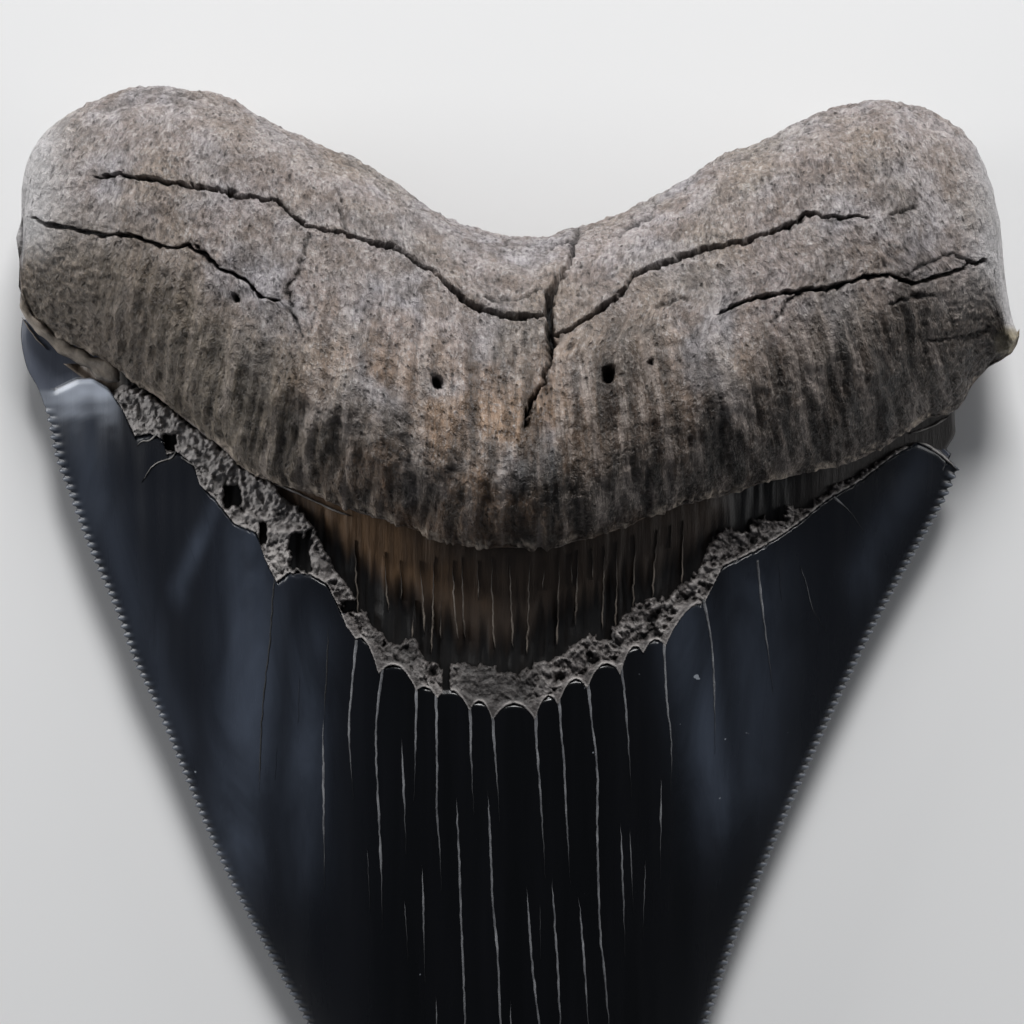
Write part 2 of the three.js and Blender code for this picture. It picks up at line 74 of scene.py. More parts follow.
# Outline of the root from its left end, over both lobes, to the broken corner on the right
ROOT_TOP_PLAN = [
    (-53.2, 27), (-53.1, 31.5), (-52.8, 36.4), (-51.3, 40.4), (-47.8, 43.5), (-43.6, 45.2), (-39.2, 46.2),
    (-34, 45.7), (-30, 44.7), (-25.6, 42.2), (-20.6, 39.9), (-16.4, 38.1), (-12.7, 35.9), (-8.4, 32.9),
    (-4.4, 31), (1.2, 29.9), (6.2, 30.6), (9.5, 31.5), (13.3, 33.2), (18.5, 35.9), (22.2, 38.5), (26, 40),
    (30, 41.9), (34, 43.5), (40.1, 44.7), (44.1, 44.1), (47.8, 42.2), (50.3, 39.3), (51.8, 35.7),
    (52.7, 31.3), (53.2, 26.2), (54, 21.3), (54.8, 19),
]
ROOT_FOOT_PLAN = [
    (-53.2, 27), (-53, 22.9), (-51.6, 20.2), (-49.9, 18.8), (-46.7, 17.5), (-43.4, 15.7), (-40.4, 13.5),
    (-37.9, 11.8), (-35.4, 9.7), (-32, 7.2), (-28.8, 4.2), (-26.1, 3.2), (-21, 1.4), (-17.4, -0.1),
    (-10.8, -2.1), (-6.4, -3.5), (-2.7, -4.1), (2.7, -4.1), (5.6, -3.9), (10, -2.7), (13.7, -1.2),
    (17.3, 0.2), (20.3, 0.9), (23.9, 1.7), (26.5, 2.6), (33, 4.3), (38, 5.6), (41, 7.3), (44.3, 9.4),
    (48.1, 11), (49.6, 13.2), (51.3, 15.2), (52.8, 16.1), (54, 17), (54.8, 19),
]

# Cutting edges of the crown from the shoulders to the tip, and the neck beside the right one
LEFT_EDGE_PLAN = [
    (-52.6, 22), (-53, 19), (-52.4, 15.7), (-51.2, 13.4), (-50.4, 11), (-49.4, 6), (-47.8, 1.6),
    (-46.3, -2.6), (-44.9, -6), (-42.9, -10.7), (-41, -15.9), (-38.3, -21.7), (-36.1, -27),
    (-32.5, -35.7), (-29.1, -42.7), (-25.4, -49.6), (-22.4, -55), (-16, -67.4), (-9.4, -80),
    (-3.4, -91.8), (0.4, -99.2), (2.2, -102.2), (4.4, -103.8),
]
RIGHT_SHOULDER_PLAN = [(56, 22), (52.5, 13), (50, 8)]
RIGHT_EDGE_PLAN = [
    (48.3, 4.6), (46.9, 1.4), (44.8, -2.4), (43.3, -5), (39.7, -11.6), (37.5, -16), (34.9, -21.4),
    (31.8, -28.2), (29.3, -33.9), (26.9, -39.6), (24.5, -45.5), (22.9, -50), (21.4, -54.6),
    (17.2, -67.4), (13.3, -80), (9.8, -91.8), (7.8, -99.2), (6.5, -102.2), (4.4, -103.8),
]
NECK_PLAN = [(47.6, 16), (47.8, 10), (47.8, 8.4), (46.8, 6.6), (46.5, 5.2)]

# Torn upper rim of the enamel: left and right of the middle, where arches stand between the cracks
RIM_LEFT_PLAN = [
    (-50.7, 12.1), (-49.8, 12.9), (-49.1, 13.3), (-47, 14.3), (-45.3, 14.4), (-43.6, 13.4), (-42.1, 11.2),
    (-40.7, 8.2), (-39.1, 8.5), (-37.7, 7.9), (-37.3, 6.2), (-36.1, 6.5), (-34.4, 5.2), (-33.7, 2.9),
    (-32.3, 1.7), (-29.9, -1.3), (-27.6, -2.2), (-26.8, -4.8), (-25.4, -7.6), (-24.2, -6.6),
    (-21.8, -6.7), (-20, -7.7), (-18.9, -9.9), (-17.9, -12.3),
]
RIM_RIGHT_PLAN = [
    (22.8, -5.8), (26.4, -4.1), (28.9, -2.6), (31.4, -0.8), (34.3, 1.6), (37.6, 3.4), (41, 6),
    (43.8, 7.6), (46.2, 6.6), (48.3, 4.6),
]
CRACK_TOPS = [
    (-16.9, -13.8), (-14.4, -17.6), (-10.3, -19.4), (-8.1, -20.2), (-4.55, -21.6), (-2.1, -22.6),
    (2.5, -22.5), (5, -21), (8.1, -19.2), (11.7, -17.7), (14.2, -15.4), (16.5, -14.7), (20.8, -9.8),
]
ARCH_RISES = [1.5, 1.9, 0.9, 1.6, 1.7, 1.9, 1.85, 2, 2.05, 1.9, 1.3, 1.3]
LABIAL_RIM_PLAN = [(-52.6, 22), (-40, 17.5), (-20, 12.5), (0, 10.3), (20, 9.3), (36, 8), (48.3, 4.6)]

# Deep cracks of the root: depth, and (x, y, width) along each
ROOT_CRACKS = [
    (1.6, [
        (-44.9, 36.1, 0.3), (-42.4, 36.5, 0.6), (-37.9, 35.8, 0.75), (-34.2, 35.4, 0.55),
        (-29.5, 34.3, 0.55), (-25.1, 33.8, 0.4), (-24, 32.4, 0.4), (-22.3, 31, 0.45), (-18, 30.3, 0.5),
        (-14.8, 29.2, 0.6), (-12.2, 28.7, 0.75), (-10.5, 27.3, 0.8), (-8.4, 26, 0.7), (-6.7, 24.5, 0.7),
        (-4.1, 22.4, 0.8), (-2, 21.7, 0.85), (0.3, 21.1, 0.8), (3.7, 21.4, 0.6),
    ]),
    (3.2, [
        (6.9, 29.9, 0.3), (6, 27, 0.5), (4.9, 25.2, 0.85), (4.1, 23.4, 1.1), (4, 21.4, 1.2),
        (4, 18.5, 1.15), (4.1, 17.1, 0.9), (3.4, 14.5, 0.7), (2.3, 12.7, 0.6), (1.8, 10.4, 0.5),
        (1.7, 8.6, 0.3),
    ]),
    (1.7, [
        (4.4, 19.1, 0.6), (6.3, 20.1, 0.6), (8.3, 21.2, 0.6), (10.4, 22.6, 0.6), (12.1, 24, 0.6),
        (13, 25.7, 0.6), (15.9, 27, 0.7), (18.1, 27.9, 0.85), (20.5, 28.7, 0.8), (25.5, 29.4, 0.7),
        (28.5, 30.5, 0.55), (31, 31.5, 0.7), (31.5, 32.4, 0.7), (35.5, 31.9, 0.5), (38.5, 31.9, 0.3),
    ]),
    (1.5, [
        (22.2, 21.4, 0.3), (24.3, 22.5, 0.5), (26, 23, 0.6), (29, 23.8, 0.65), (34, 24.1, 0.65),
        (38, 25.3, 0.65), (41, 25.5, 0.55), (43.6, 24.7, 0.65), (47, 25.6, 0.7), (50.9, 27.2, 0.4),
    ]),
    (1.4, [
        (-52, 31.8, 0.3), (-50.3, 31.1, 0.6), (-47.8, 30.6, 0.65), (-44.7, 30, 0.65), (-41.4, 29.9, 0.5),
        (-37, 28.4, 0.6), (-35, 28.8, 0.6), (-33, 27.7, 0.65), (-32, 26.5, 0.6), (-28.7, 25, 0.5),
        (-27.5, 23.3, 0.45), (-25.3, 22.7, 0.3),
    ]),
]
LEVEL_CRACKS = (0, 2, 3, 4)
UPRIGHT_CRACK_X = 4

# Hairline cracks of the root
FINE_CRACKS = [
    [(-2.7, 23.4), (-1.3, 23.1), (0.9, 23.1), (3.1, 24.3)],
    [(3.5, 14.5), (3.6, 12.7)],
    [(4.3, 28.7), (5.6, 29.3), (6.9, 29.6)],
    [(6.9, 30.6), (6.5, 28.8), (6.0, 27.0)],
    [(-21.8, 30.2), (-22.6, 27.8), (-23.1, 25.8), (-24.3, 24.0), (-23.7, 21.6), (-22.8, 19.1)],
    [(-18.5, 35.0), (-18.3, 32.8), (-18.0, 30.7)],
    [(15.6, 22.2), (17.1, 22.9), (18.8, 23.1)],
    [(31.0, 23.5), (29.8, 22.8), (29.1, 21.5), (28.0, 20.2)],
    [(41.0, 22.5), (43.5, 23.2), (46.1, 23.3)],
    [(45.0, 18.6), (46.5, 18.3), (48.3, 18.6), (50.2, 18.9), (51.7, 19.7)],
    [(41.0, 32.2), (42.4, 32.6), (43.8, 33.0)],
    [(-25.1, 33.8), (-24.1, 32.5)],
    [(10.8, 29.9), (13.0, 31.3), (14.9, 32.2)],
    [(42.4, 25.5), (45.1, 27.0), (47.8, 27.9), (49.7, 27.0)],
]
FINE_CRACK_WIDTH = 0.34
FINE_CRACK_DEPTH = 0.5

# Nutrient holes and small pits of the root: (x, y, radius, depth)
NUTRIENT_HOLES = [
    (10.4, 14.9, 0.85, 2.6), (-8, 14, 0.7, 2.2), (-30, 23, 0.45, 1.2), (15, 16.2, 0.35, 0.8),
    (-7.2, 18.4, 0.25, 0.5),
]

# Lower border of the smooth brown band under the ledge
BROWN_BAND_FOOT_PLAN = [
    (-30, 3.5), (-22.9, 0.4), (-17.4, -3.6), (-13.7, -7.3), (-10, -10), (-5, -13.4), (-0.5, -13.4),
    (4.5, -10.4), (10, -8), (17.3, -4.9), (21.7, -1.5), (30, 2),
]

# Cracks that run down the enamel: open ones, and ones filled with pale sediment
OPEN_CRACKS = [
    [(-25.6, -6.8), (-25.9, -10.6), (-26.1, -13.8), (-26.6, -18.1), (-27.0, -22.6), (-27.3, -30.2)],
    [(-19.8, -12.2), (-20.1, -19.2), (-20.3, -22.5)],
]
FILLED_CRACKS = [
    [(-23.0, -18.0), (-23.1, -22.8)],
    [(-25.4, -25.5), (-25.6, -28.9)],
    [(-20.3, -22.0), (-20.4, -25.7), (-20.3, -33.3), (-20.2, -40.8)],
    [(-16.8, -13.8), (-17.3, -19.2), (-17.6, -23.7), (-17.1, -31.0)],
    [(-13.9, -16.5), (-14.4, -20.3), (-14.7, -24.4), (-14.4, -32.3), (-14.1, -38.7), (-14.0, -45.3)],
    [(-11.9, -24.4), (-11.4, -37.0)],
    [(-10.3, -18.6), (-10.4, -24.6), (-10.6, -31.3)],
    [(-8.2, -19.2), (-8.1, -26.8), (-8.1, -32.3), (-7.8, -36.5), (-7.6, -41.0)],
    [(-4.5, -21.0), (-4.4, -26.8), (-4.1, -32.7)],
    [(-2.1, -22.0), (-1.7, -27.9), (-1.3, -33.6)],
    [(-6.0, -30.8), (-5.7, -37.6), (-5.5, -43.7), (-5.3, -48.4), (-5.1, -53.8), (-5.0, -61.3)],
    [(-9.7, -38.1), (-9.4, -50.9)],
    [(-15.6, -36.3), (-15.3, -43.2)],
    [(-8.2, -52.2), (-8.1, -55.3), (-7.9, -61.9)],
    [(-2.6, -30.2), (-2.3, -36.5), (-2.1, -41.6), (-1.6, -47.3), (-1.3, -53.5), (-1.0, -63.0)],
    [(2.6, -21.9), (2.7, -25.7), (3.0, -29.8), (3.3, -34.3), (3.6, -39.6)],
    [(5.1, -20.1), (5.3, -23.5), (5.6, -27.0), (5.9, -33.3), (6.3, -40.3)],
    [(8.2, -18.4), (8.6, -22.5), (9.2, -27.9), (9.2, -34.7), (9.5, -44.9), (10.0, -50.0), (10.8, -59.2)],
    [(11.8, -16.4), (12.3, -21.5), (12.6, -25.7), (12.9, -30.9)],
    [(11.7, -33.6), (12.0, -40.8), (12.2, -48.0)],
    [(12.7, -34.1), (13.1, -43.3)],
    [(16.4, -13.5), (16.7, -20.1), (17.2, -25.1), (17.1, -30.6)],
    [(16.1, -28.6), (16.0, -39.6)],
    [(20.7, -9.5), (21.6, -14.8), (21.9, -22.1), (21.9, -26.1)],
    [(26.5, -5.2), (26.8, -8.4), (27.1, -10.9), (28.2, -19.5)],
    [(28.8, -5.8), (29.1, -9.5)],
    [(31.1, -5.8), (31.8, -7.9), (32.4, -10.3), (33.9, -12.9)],
    [(1.6, -40.5), (1.9, -45.1), (2.2, -49.0), (2.6, -52.7), (3.0, -55.9), (3.3, -63.5)],
    [(4.3, -39.6), (4.8, -47.3), (5.2, -54.5), (5.4, -60.3)],
    [(7.2, -41.4), (7.7, -47.3), (8.2, -54.5), (8.4, -58.1)],
    [(34.7, 1.6), (36.5, 0.0), (38.0, -2.2)],
    [(-0.2, -52.7), (0.0, -59.2), (0.1, -65.7)],
    [(3.0, -42.4), (3.1, -48.4)],
    [(-11.6, -41.9), (-11.2, -48.4)],
    [(14.4, -37.6), (14.1, -46.2)],
]

# Thin upright ridges left standing on the bare dentine
DENTINE_RIDGES = [
    [(-17.0, -3.0), (-16.8, -7.3), (-16.6, -11.4)],
    [(-13.7, -4.3), (-13.6, -7.3), (-13.3, -10.8)],
    [(-12.1, -5.2), (-11.9, -9.5)],
    [(-10.0, -5.2), (-9.6, -9.5), (-9.4, -13.1)],
    [(-8.4, -4.8), (-8.5, -9.5), (-8.7, -15.4)],
    [(-6.4, -5.2), (-6.2, -10.6), (-5.8, -13.8)],
    [(-5.4, -4.8), (-5.3, -9.5), (-5.1, -13.8)],
    [(-3.7, -5.2), (-3.6, -9.5)],
    [(-2.2, -4.8), (-2.1, -9.5), (-1.9, -14.9)],
    [(-0.2, -4.8), (-0.1, -9.5), (0.1, -14.7)],
    [(1.9, -4.8), (1.8, -9.5), (1.6, -15.4)],
    [(3.6, -5.2), (3.3, -8.4)],
    [(5.1, -4.4), (5.0, -9.5), (4.8, -14.4)],
    [(6.3, -4.4), (6.5, -7.9)],
    [(7.1, -4.1), (7.0, -8.4), (6.8, -12.4)],
    [(8.6, -3.9), (8.7, -7.3)],
    [(10.0, -3.6), (9.9, -7.3), (9.7, -12.8)],
    [(11.3, -3.2), (11.3, -8.4), (11.1, -12.7)],
    [(13.3, -2.5), (13.2, -6.3), (13.0, -10.8)],
    [(15.7, -1.9), (15.4, -5.2), (15.2, -9.4)],
    [(17.2, -1.4), (17.1, -3.9)],
    [(18.5, -0.9), (18.4, -3.6), (18.3, -8.2)],
    [(-7.6, -9.5), (-7.7, -13.8)],
    [(-10.5, -9.5), (-10.8, -13.8)],
]

# Pale broken lips of enamel and dentine, and the smooth rolled band under the left lobe
ENAMEL_LIPS = [
    [(-40.5, 7.1), (-40.0, 7.6), (-39.0, 7.8), (-37.9, 8.9)],
    [(-40.0, 3.2), (-39.3, 4.3), (-38.3, 5.3), (-36.8, 5.8), (-36.2, 6.6)],
    [(-35.7, 5.8), (-34.7, 5.3), (-33.8, 4.8)],
    [(43.8, 7.5), (45.0, 7.1), (45.8, 6.5), (47.0, 5.6), (48.1, 4.5)],
]
DENTINE_LIPS = [
    [(-35.3, 9.4), (-33.7, 8.5), (-32.1, 7.7)],
    [(-26.4, 3.3), (-23.5, 2.2), (-21.0, 1.0), (-17.4, -0.5)],
    [(42.9, 8.4), (44.3, 8.9), (45.4, 9.3), (46.5, 9.9), (47.2, 10.3)],
    [(-30.6, 4.2), (-30.2, 5.9), (-29.6, 6.5), (-29.2, 5.6), (-29.0, 4.0)],
]
NECK_BAND = [
    (-53.0, 23.6), (-52.6, 21.9), (-51.5, 20.4), (-50.2, 19.2), (-48.1, 17.6), (-46.4, 16.7),
    (-44.7, 15.7), (-43.5, 15), (-42.4, 14.1),
]
SHOULDER_LIP = [(-52.9, 21), (-52.2, 19.9), (-51.2, 18.6), (-50.2, 17.5)]

# Upper border of the crust, and the recesses in it: (x, y, half width, half height)
CRUST_TOP_PLAN = [
    (-44.2, 14.4), (-42.6, 14.4), (-41, 13.8), (-39, 12.9), (-37.5, 11.8), (-35.4, 10.1), (-32, 7.6),
    (-28.8, 4.9), (-26.1, 3.2), (-24.5, 1.8), (-22.8, 0.2), (-21.4, -1.4), (-20.2, -4), (-18.8, -6.6),
    (-17.3, -8.6), (-15.2, -11.8), (-13.8, -13.2), (-10.4, -13.6), (-9.4, -15.9), (-7.8, -16.6),
    (-6.2, -16.2), (-2.2, -16.4), (-0.8, -17.3), (0.9, -17.3), (2.2, -16.6), (5.2, -15.2), (8.4, -13.2),
    (11.1, -12.3), (13.3, -9.8), (15.4, -9.6), (17.3, -8.8), (18.7, -7), (20, -6.6), (21.2, -3.2),
    (22.4, -2), (23.7, -1.4), (26, -0.6), (29, 0.2), (33, 2), (38, 4.6), (41, 6.6), (43, 7.6),
]
CRUST_RECESSES = [
    (-37, 7.4, 0.6, 0.8), (-30.2, 1.6, 0.9, 1.2), (-26.9, -2.4, 0.35, 1.2), (-22.8, -4.3, 1, 2),
    (-17.2, -10.2, 0.9, 0.6),
    (-7.1, -17.8, 0.36, 2.3), (-12.6, -13.3, 1, 0.9), (4.6, -14.6, 0.9, 0.9), (9.9, -12.9, 0.7, 0.7),
    (18.6, -6.6, 0.7, 1),
    (24.8, -1.4, 0.9, 0.7), (28.4, -0.4, 0.9, 0.5), (31.5, 1, 0.9, 0.5),
]
CRUST_SPINE_PLAN = [
    (-44.2, 12.8), (-40.5, 8.6), (-36.5, 6), (-32.5, 1.8), (-28.5, -1.6), (-24, -6), (-19, -9.8),
    (-15, -15.2), (-10, -18.5), (-5, -20.3), (0, -21), (5, -19.8), (10, -17.2), (15, -13.8), (20, -9.6),
    (24, -5), (30, -1.5), (36, 2.6), (42, 6.6), (43.6, 7.3),
]

# Pale bands of sheen down the enamel: (x, y) at the top, (x, y) at the foot, width, strength
SHEEN_BANDS = [
    ((-31.5, 1.5), (-36, -8), 1.1, 0.6),
    ((-27.5, -4), (-29.5, -34), 3.4, 0.8),
    ((-47, 11), (-45.5, 2), 2.6, 0.55),
    ((-22, -16), (-22.5, -36), 2.6, 0.5),
    ((-43, -2), (-36, -24), 2.2, 0.35),
    ((18.5, -13), (22, -30), 3, 0.6),
    ((27, -9), (26, -26), 3.6, 0.36),
    ((44, 5), (38, -6), 2, 0.3),
]


# Small helpers
def clamp(value):
    return np.clip(value, 0.0, 1.0)


def mix(a, b, share):
    return a + (b - a) * share


def ease(low, high, value):
    """0 below low, 1 above high, and a soft step between them."""
    share = clamp((value - low) / (high - low))
    return share * share * (3 - 2 * share)


def spaced(curve, count):
    """Evenly spaced points along a polyline."""
    steps = np.linalg.norm(np.diff(curve, axis=0), axis=1)
    travelled = np.concatenate([[0], np.cumsum(steps)])
    wanted = np.linspace(0, travelled[-1], count + 1)
    return np.stack([np.interp(wanted, travelled, curve[:, k]) for k in range(curve.shape[1])], axis=-1)


def smooth(plan, count):
    """Evenly spaced points of the curve that runs smoothly through a plan."""
    points = np.array(plan, float)
    last = len(points) - 1
    place = np.linspace(0, last, 24 * last + 1)
    cell = np.minimum(place.astype(int), last - 1)
    t = (place - cell)[:, None]
    a = points[cell]
    b = points[cell + 1]
    start = (b - points[np.maximum(cell - 1, 0)]) / 2
    end = (points[np.minimum(cell + 2, last)] - a) / 2
    cubic = 2 * a - 2 * b + start + end
    square = 3 * b - 3 * a - 2 * start - end
    return spaced(cubic * t**3 + square * t**2 + start * t + a, count)


def sideways(curve):
    """Unit steps to the left of a curve in plan, at each of its points."""
    ahead = np.gradient(curve, axis=0)
    ahead /= np.linalg.norm(ahead, axis=1, keepdims=True)
    return np.stack([-ahead[:, 1], ahead[:, 0]], axis=1)


def crossing(curve, along, value):
    """Where a curve that runs one way along an axis passes values of that axis."""
    order = curve[:, along].argsort(kind="stable")
    return np.interp(value, curve[order, along], curve[order, 1 - along])


CURVE_STEPS = 1600
SHORT_CURVE_STEPS = 200
ROOT_TOP = smooth(ROOT_TOP_PLAN, CURVE_STEPS)
ROOT_FOOT = smooth(ROOT_FOOT_PLAN, CURVE_STEPS)
LEFT_EDGE = smooth(LEFT_EDGE_PLAN, CURVE_STEPS)
RIGHT_EDGE = smooth(RIGHT_SHOULDER_PLAN + RIGHT_EDGE_PLAN, CURVE_STEPS)
BROWN_BAND_FOOT = smooth(BROWN_BAND_FOOT_PLAN, SHORT_CURVE_STEPS)
LABIAL_RIM = smooth(LABIAL_RIM_PLAN, SHORT_CURVE_STEPS)

# Repeatable gradient noise
NOISE_SIZE = 256
random = np.random.default_rng(7)
NOISE_TABLE = random.permutation(NOISE_SIZE)
NOISE_SLOPES = random.normal(size=(NOISE_SIZE, 3))
NOISE_SLOPES /= np.linalg.norm(NOISE_SLOPES, axis=1, keepdims=True)
NOISE_POINTS = random.random((NOISE_SIZE, 3))


def cell_number(cell):
    """A repeatable number for each cell of space."""
    last = NOISE_SIZE - 1
    number = NOISE_TABLE[cell[..., 0] & last]
    number = NOISE_TABLE[(number + cell[..., 1]) & last]
    return NOISE_TABLE[(number + cell[..., 2]) & last]


def noise(places):
    """Smooth noise from about -1 to 1, with features about one unit wide."""
    cell = np.floor(places).astype(int)
    inside = places - cell
    fade = inside**3 * (inside * (inside * 6 - 15) + 10)
    total = np.zeros(places.shape[:-1])
    for corner in product((0, 1), repeat=3):
        corner = np.array(corner)
        weight = np.prod(np.where(corner == 1, fade, 1 - fade), axis=-1)
        slopes = NOISE_SLOPES[cell_number(cell + corner)]
        total += weight * np.sum(slopes * (inside - corner), axis=-1)
    return total * 1.7


def fractal(places, octaves, gain=0.5):
    """Noise with finer and weaker noise added to it."""
    total = np.zeros(places.shape[:-1])
    strength = 1.0
    for octave in range(octaves):
        total += strength * noise(places * 2.0**octave + 17.3 * octave)
        strength *= gain
    return total


def blocks(places):
    """Broken blocks about one unit wide: a level from 0 to 1 that is the same all over a block."""
    cell = np.floor(places).astype(int)
    nearest = np.full(places.shape[:-1], 9.0)
    level = np.zeros(places.shape[:-1])
    for corner in product((-1, 0, 1), repeat=3):
        around = cell + np.array(corner)
        number = cell_number(around)
        offset = NOISE_POINTS[number] + around - places
        distance = np.sum(offset * offset, axis=-1)
        level = np.where(distance < nearest, NOISE_TABLE[number] / NOISE_SIZE, level)
        nearest = np.minimum(nearest, distance)
    return level


def path_distance(x, y, path):
    """Distance of each place to a path, and the path's width there if it has one."""
    nearest = np.full(x.shape, 1e3)
    width = np.zeros(x.shape)
    path = np.array(path, float)
    for a, b in zip(path[:-1], path[1:]):
        run = b[:2] - a[:2]
        share = clamp(((x - a[0]) * run[0] + (y - a[1]) * run[1]) / (run @ run))
        distance = np.hypot(x - a[0] - share * run[0], y - a[1] - share * run[1])
        closer = distance < nearest
        nearest = np.where(closer, distance, nearest)
        if len(a) == 3:
            width = np.where(closer, mix(a[2], b[2], share), width)
    return nearest, width


def flat(x, y, z=0.0):
    """Places in plan as points for the noise functions."""
    return np.stack(np.broadcast_arrays(x, y, z), axis=-1).astype(float)


# Surfaces of the crown over its plan. The rim is arched between two places in x.
NARROWEST = 0.01
ARCH_STEPS = 24
ARCHED_LEFT = -18.6
ARCHED_RIGHT = 20.6
SPLINTERED_LEFT = -45
SPLINTERED_RIGHT = 45


def towards_tip(y):
    return clamp(-y / CROWN_LENGTH)


def crown_width(y):
    return crossing(RIGHT_EDGE, 1, y) - crossing(LEFT_EDGE, 1, y)


def across_crown(x, y):
    left = crossing(LEFT_EDGE, 1, y)
    right = crossing(RIGHT_EDGE, 1, y)
    half = np.maximum((right - left) / 2, NARROWEST)
    return np.minimum(1, np.abs(x - (left + right) / 2) / half)


def edge_height(y):
    return mix(CUTTING_EDGE, CUTTING_EDGE_TIP, towards_tip(y))


def crown_top(x, y):
    ridge = mix(CROWN_TIP, CROWN_BASE, (1 - towards_tip(y) ** 1.5) ** 0.9)
    return mix(ridge, edge_height(y), across_crown(x, y) ** 2.2)


def crown_underside(x, y):
    outwards = clamp((across_crown(x, y) - REST_SHARE) / (1 - REST_SHARE)) ** 1.7
    lift = TIP_LIFT * clamp((towards_tip(y) - LIFT_FROM) / (1 - LIFT_FROM)) ** 2
    return mix(lift, edge_height(y), outwards)


def arched_rim():
    """The lower border of the crust: torn at the sides, and arched between the cracks."""
    rim = [*RIM_LEFT_PLAN]
    for start, end, rise in zip(CRACK_TOPS[:-1], CRACK_TOPS[1:], ARCH_RISES):
        for share in np.linspace(0, 1, ARCH_STEPS)[:-1]:
            arch = rise * (1 - abs(2 * share - 1) ** 2)
            rim.append((mix(start[0], end[0], share), mix(start[1], end[1], share) + arch))
    return np.array([*rim, CRACK_TOPS[-1], *RIM_RIGHT_PLAN])


ARCHED_RIM = arched_rim()


def crust_foot(x):
    """Where the crust ends on the enamel at x, with a funnel at the top of each crack."""
    foot = np.interp(x, ARCHED_RIM[:, 0], ARCHED_RIM[:, 1])
    return foot + 0.09 * noise(flat(x * 2.2, 0, 4))


def rim_height(x):
    """How far up the enamel reaches at x, with a splintery border. The funnels lie on the enamel."""
    around = [np.interp(x + reach, ARCHED_RIM[:, 0], ARCHED_RIM[:, 1]) for reach in np.linspace(-1, 1, 9)]
    arched = ease(ARCHED_LEFT, ARCHED_LEFT + 1, x) * (1 - ease(ARCHED_RIGHT - 1, ARCHED_RIGHT, x))
    torn = mix(around[4], np.max(around, axis=0) * 0.6 + np.mean(around, axis=0) * 0.4 + 0.1, arched)
    splinters = 0.24 * noise(flat(x * 1.3, 0, 3)) + 0.14 * noise(flat(x * 3.1, 0, 8))
    splintered = ease(SPLINTERED_LEFT, SPLINTERED_LEFT + 3, x)
    splintered = splintered * (1 - ease(SPLINTERED_RIGHT - 2, SPLINTERED_RIGHT, x))
    return torn + splinters * splintered * (1 - arched)


# Surfaces of the root over its plan. Up is 0 at the ledge and 1 at the outline.
def towards_end(x):
    return np.minimum(1, np.abs(x - ROOT_MIDDLE) / ROOT_HALF_SPAN)


def root_relief(x, y):
    swell = np.sin(x * 0.16 + 0.6) * np.cos(y * 0.21 - 0.4)
    return 0.35 * swell + 0.2 * np.sin(x * 0.43 + y * 0.31) + 0.12 * np.sin(x * 0.9 - y * 0.55)


def root_lingual(x, y, up):
    end = towards_end(x)
    crest = mix(ROOT_RIM, ROOT_CREST, (1 - end**2.6) ** 0.6)
    crest_up = mix(0.27, 0.5, np.minimum(1, end * 1.2))
    crown_here = crown_top(x, y) - ENAMEL_THICKNESS
    lip = mix(ROOT_RIM, crown_here + mix(LEDGE_DROP, 2.2, end), (1 - end**8) ** 0.5)
    over = clamp((up - crest_up) / (1 - crest_up))
    rounding = (1 - over**2.5) ** 0.55
    upper = mix(ROOT_RIM, crest, rounding) + root_relief(x, y) * rounding
    under = clamp((crest_up - up) / crest_up)
    lower = mix(crest, lip, under**2.3) + root_relief(x, y) * (1 - under**4)
    return np.where(up > crest_up, upper, lower)


def root_underside(x, up):
    end = (1 - towards_end(x) ** 6) ** 0.5
    rounding = clamp((up - 0.72) / 0.28)
    return mix(ROOT_RIM, ROOT_UNDERSIDE, end * (1 - rounding**2.6) ** 0.5)


# Meshes
def lifted(x, y, z):
    """True place of a plan point at its height."""
    x, y, z = np.broadcast_arrays(x, y, z)
    scale = (EYE_HEIGHT - z) / (EYE_HEIGHT - OUTLINE_HEIGHT)
    return np.stack([x * scale + PLAN_ORIGIN[0], y * scale + PLAN_ORIGIN[1], z], axis=-1)


def signed_volume(points, triangles):
    a, b, c = (points[triangles[:, k]] for k in range(3))
    return np.sum(a * np.cross(b, c))


def make_piece(name, points, faces, material, marks=None):
    """A smooth closed mesh from points in millimetres, kept inside the solid's box."""
    low = np.array(cad_low) / MILLIMETRE
    high = np.array(cad_high) / MILLIMETRE
    points = np.clip(points, low, high)
    triangles = np.array([face[:3] for face in faces])
    halves = np.array([(face[0], face[2], face[3]) for face in faces if len(face) == 4]).reshape(-1, 3)
    if signed_volume(points, np.vstack([triangles, halves.astype(int)])) < 0:
        faces = [face[::-1] for face in faces]
    mesh = bpy.data.meshes.new(name)
    mesh.from_pydata((points * MILLIMETRE).tolist(), [], faces)
    mesh.polygons.foreach_set("use_smooth", np.ones(len(faces), bool))
    for mark, values in (marks or {}).items():
        values = np.asarray(values, np.float32)
        kind, field = ("FLOAT", "value") if values.ndim == 1 else ("FLOAT_VECTOR", "vector")
        mesh.attributes.new(mark, kind, "POINT").data.foreach_set(field, values.ravel())
    mesh.materials.append(material)
    mesh.update()
    piece = bpy.data.objects.new(name, mesh)
    bpy.context.scene.collection.objects.link(piece)
    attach(piece, "root")
    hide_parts("tooth")
    return piece


def skin_faces(loops, size):
    """Faces round a ladder of closed loops, drawn together to one point at each end."""
    faces = []
    start = loops * size
    end = start + 1
    last = start - size
    for k in range(size):
        after = (k + 1) % size
        for a in range(0, last, size):
            b = a + size
            faces.append((a + k, a + after, b + after, b + k))
        faces.append((start, after, k))
        faces.append((end, last + k, last + after))
    return faces


def with_ends(values, size):
    """A mark's values for the points of all loops, then 0 for the two end points."""
    values = values.reshape(size, -1)
    return np.concatenate([values, np.zeros((2, values.shape[1]))]).squeeze()


